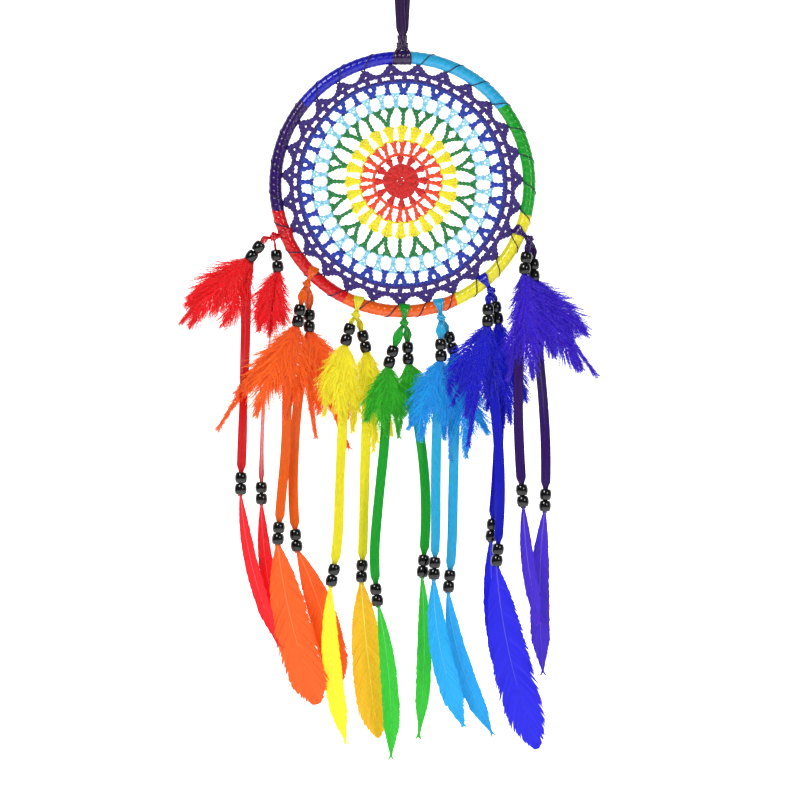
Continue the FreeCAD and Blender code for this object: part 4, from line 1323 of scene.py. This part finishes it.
class StageSettings(bpy.types.PropertyGroup):
    camera_distance: length_setting("Camera distance", "From the ring to the camera", 2.4)
    room_light: bpy.props.FloatProperty(
        name="Room light", description="Strength of the white surroundings", default=0.15,
        min=0.0, max=5.0)


class DreamCatcherSettings(bpy.types.PropertyGroup):
    ribbon: bpy.props.PointerProperty(type=RibbonSettings)
    crochet: bpy.props.PointerProperty(type=CrochetSettings)
    feather: bpy.props.PointerProperty(type=FeatherSettings)
    stage: bpy.props.PointerProperty(type=StageSettings)


class MakeStage(bpy.types.Operator):
    """Add the camera, lights and white backdrop"""
    bl_idname = "dream_catcher.stage"
    bl_label = "Stage"

    def execute(self, context):
        build_stage(context.scene.dream_catcher.stage)
        return {"FINISHED"}


class MakeWraps(bpy.types.Operator):
    """Wind the seven satin ribbons round the ring"""
    bl_idname = "dream_catcher.wraps"
    bl_label = "Ring wrapping"

    def execute(self, context):
        build_wraps(context.scene.dream_catcher.ribbon)
        return {"FINISHED"}


class MakeMandala(bpy.types.Operator):
    """Crochet the seven coloured rounds"""
    bl_idname = "dream_catcher.mandala"
    bl_label = "Mandala"

    def execute(self, context):
        build_mandala(context.scene.dream_catcher.crochet)
        return {"FINISHED"}


class MakeLacing(bpy.types.Operator):
    """Lace the mandala's points to the ring"""
    bl_idname = "dream_catcher.lacing"
    bl_label = "Lacing"

    def execute(self, context):
        build_lacing(context.scene.dream_catcher.crochet)
        return {"FINISHED"}


class MakeTopKnot(bpy.types.Operator):
    """Tie the lark's head round the ring's top"""
    bl_idname = "dream_catcher.top_knot"
    bl_label = "Lark's head"

    def execute(self, context):
        build_top_knot(context.scene.dream_catcher.ribbon)
        return {"FINISHED"}


class MakeLoop(bpy.types.Operator):
    """Hang the ribbon loop over its nail"""
    bl_idname = "dream_catcher.hanging_loop"
    bl_label = "Hanging loop"

    def execute(self, context):
        build_hanging_loop(context.scene.dream_catcher.ribbon)
        return {"FINISHED"}


class MakeTies(bpy.types.Operator):
    """Tie the seven ribbons round the ring"""
    bl_idname = "dream_catcher.ties"
    bl_label = "Tied ribbons"

    def execute(self, context):
        build_ties(context.scene.dream_catcher.ribbon)
        return {"FINISHED"}


class MakeBeads(bpy.types.Operator):
    """Thread the black beads on the tails"""
    bl_idname = "dream_catcher.beads"
    bl_label = "Beads"

    def execute(self, context):
        build_beads(context.scene.dream_catcher.ribbon)
        return {"FINISHED"}


class MakePlumes(bpy.types.Operator):
    """Set the fluffy feathers below the upper beads"""
    bl_idname = "dream_catcher.plumes"
    bl_label = "Fluffy feathers"

    def execute(self, context):
        build_plumes(context.scene.dream_catcher.feather)
        return {"FINISHED"}


class MakeLongFeathers(bpy.types.Operator):
    """Set the long feathers below the lower beads"""
    bl_idname = "dream_catcher.long_feathers"
    bl_label = "Long feathers"

    def execute(self, context):
        build_long_feathers(context.scene.dream_catcher.feather)
        return {"FINISHED"}


class MakeTails(bpy.types.Operator):
    """Hang the ribbon tails through the beads"""
    bl_idname = "dream_catcher.tails"
    bl_label = "Ribbon tails"

    def execute(self, context):
        build_tails(context.scene.dream_catcher.ribbon)
        return {"FINISHED"}


OPERATORS = (MakeStage, MakeWraps, MakeMandala, MakeLacing, MakeTopKnot, MakeLoop, MakeTies,
             MakeBeads, MakePlumes, MakeLongFeathers, MakeTails)


class DreamCatcherPanel(bpy.types.Panel):
    """Settings and one button for each step"""
    bl_idname = "VIEW3D_PT_dream_catcher"
    bl_label = "Dream catcher"
    bl_space_type = "VIEW_3D"
    bl_region_type = "UI"
    bl_category = "Dream catcher"

    def draw(self, context):
        settings = context.scene.dream_catcher
        for group in (settings.ribbon, settings.crochet, settings.feather, settings.stage):
            box = self.layout.box()
            for name in group.__annotations__:
                box.prop(group, name)
        for operator in OPERATORS:
            self.layout.operator(operator.bl_idname)


CLASSES = (RibbonSettings, CrochetSettings, FeatherSettings, StageSettings,
           DreamCatcherSettings, *OPERATORS, DreamCatcherPanel)


def register():
    for kind in CLASSES:
        bpy.utils.register_class(kind)
    bpy.types.Scene.dream_catcher = bpy.props.PointerProperty(type=DreamCatcherSettings)


def unregister():
    del bpy.types.Scene.dream_catcher
    for kind in reversed(CLASSES):
        bpy.utils.unregister_class(kind)


def main():
    register()
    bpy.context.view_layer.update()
    for operator in OPERATORS:
        _group, name = operator.bl_idname.split(".")
        getattr(bpy.ops.dream_catcher, name)()


if __name__ == "__main__":
    main()
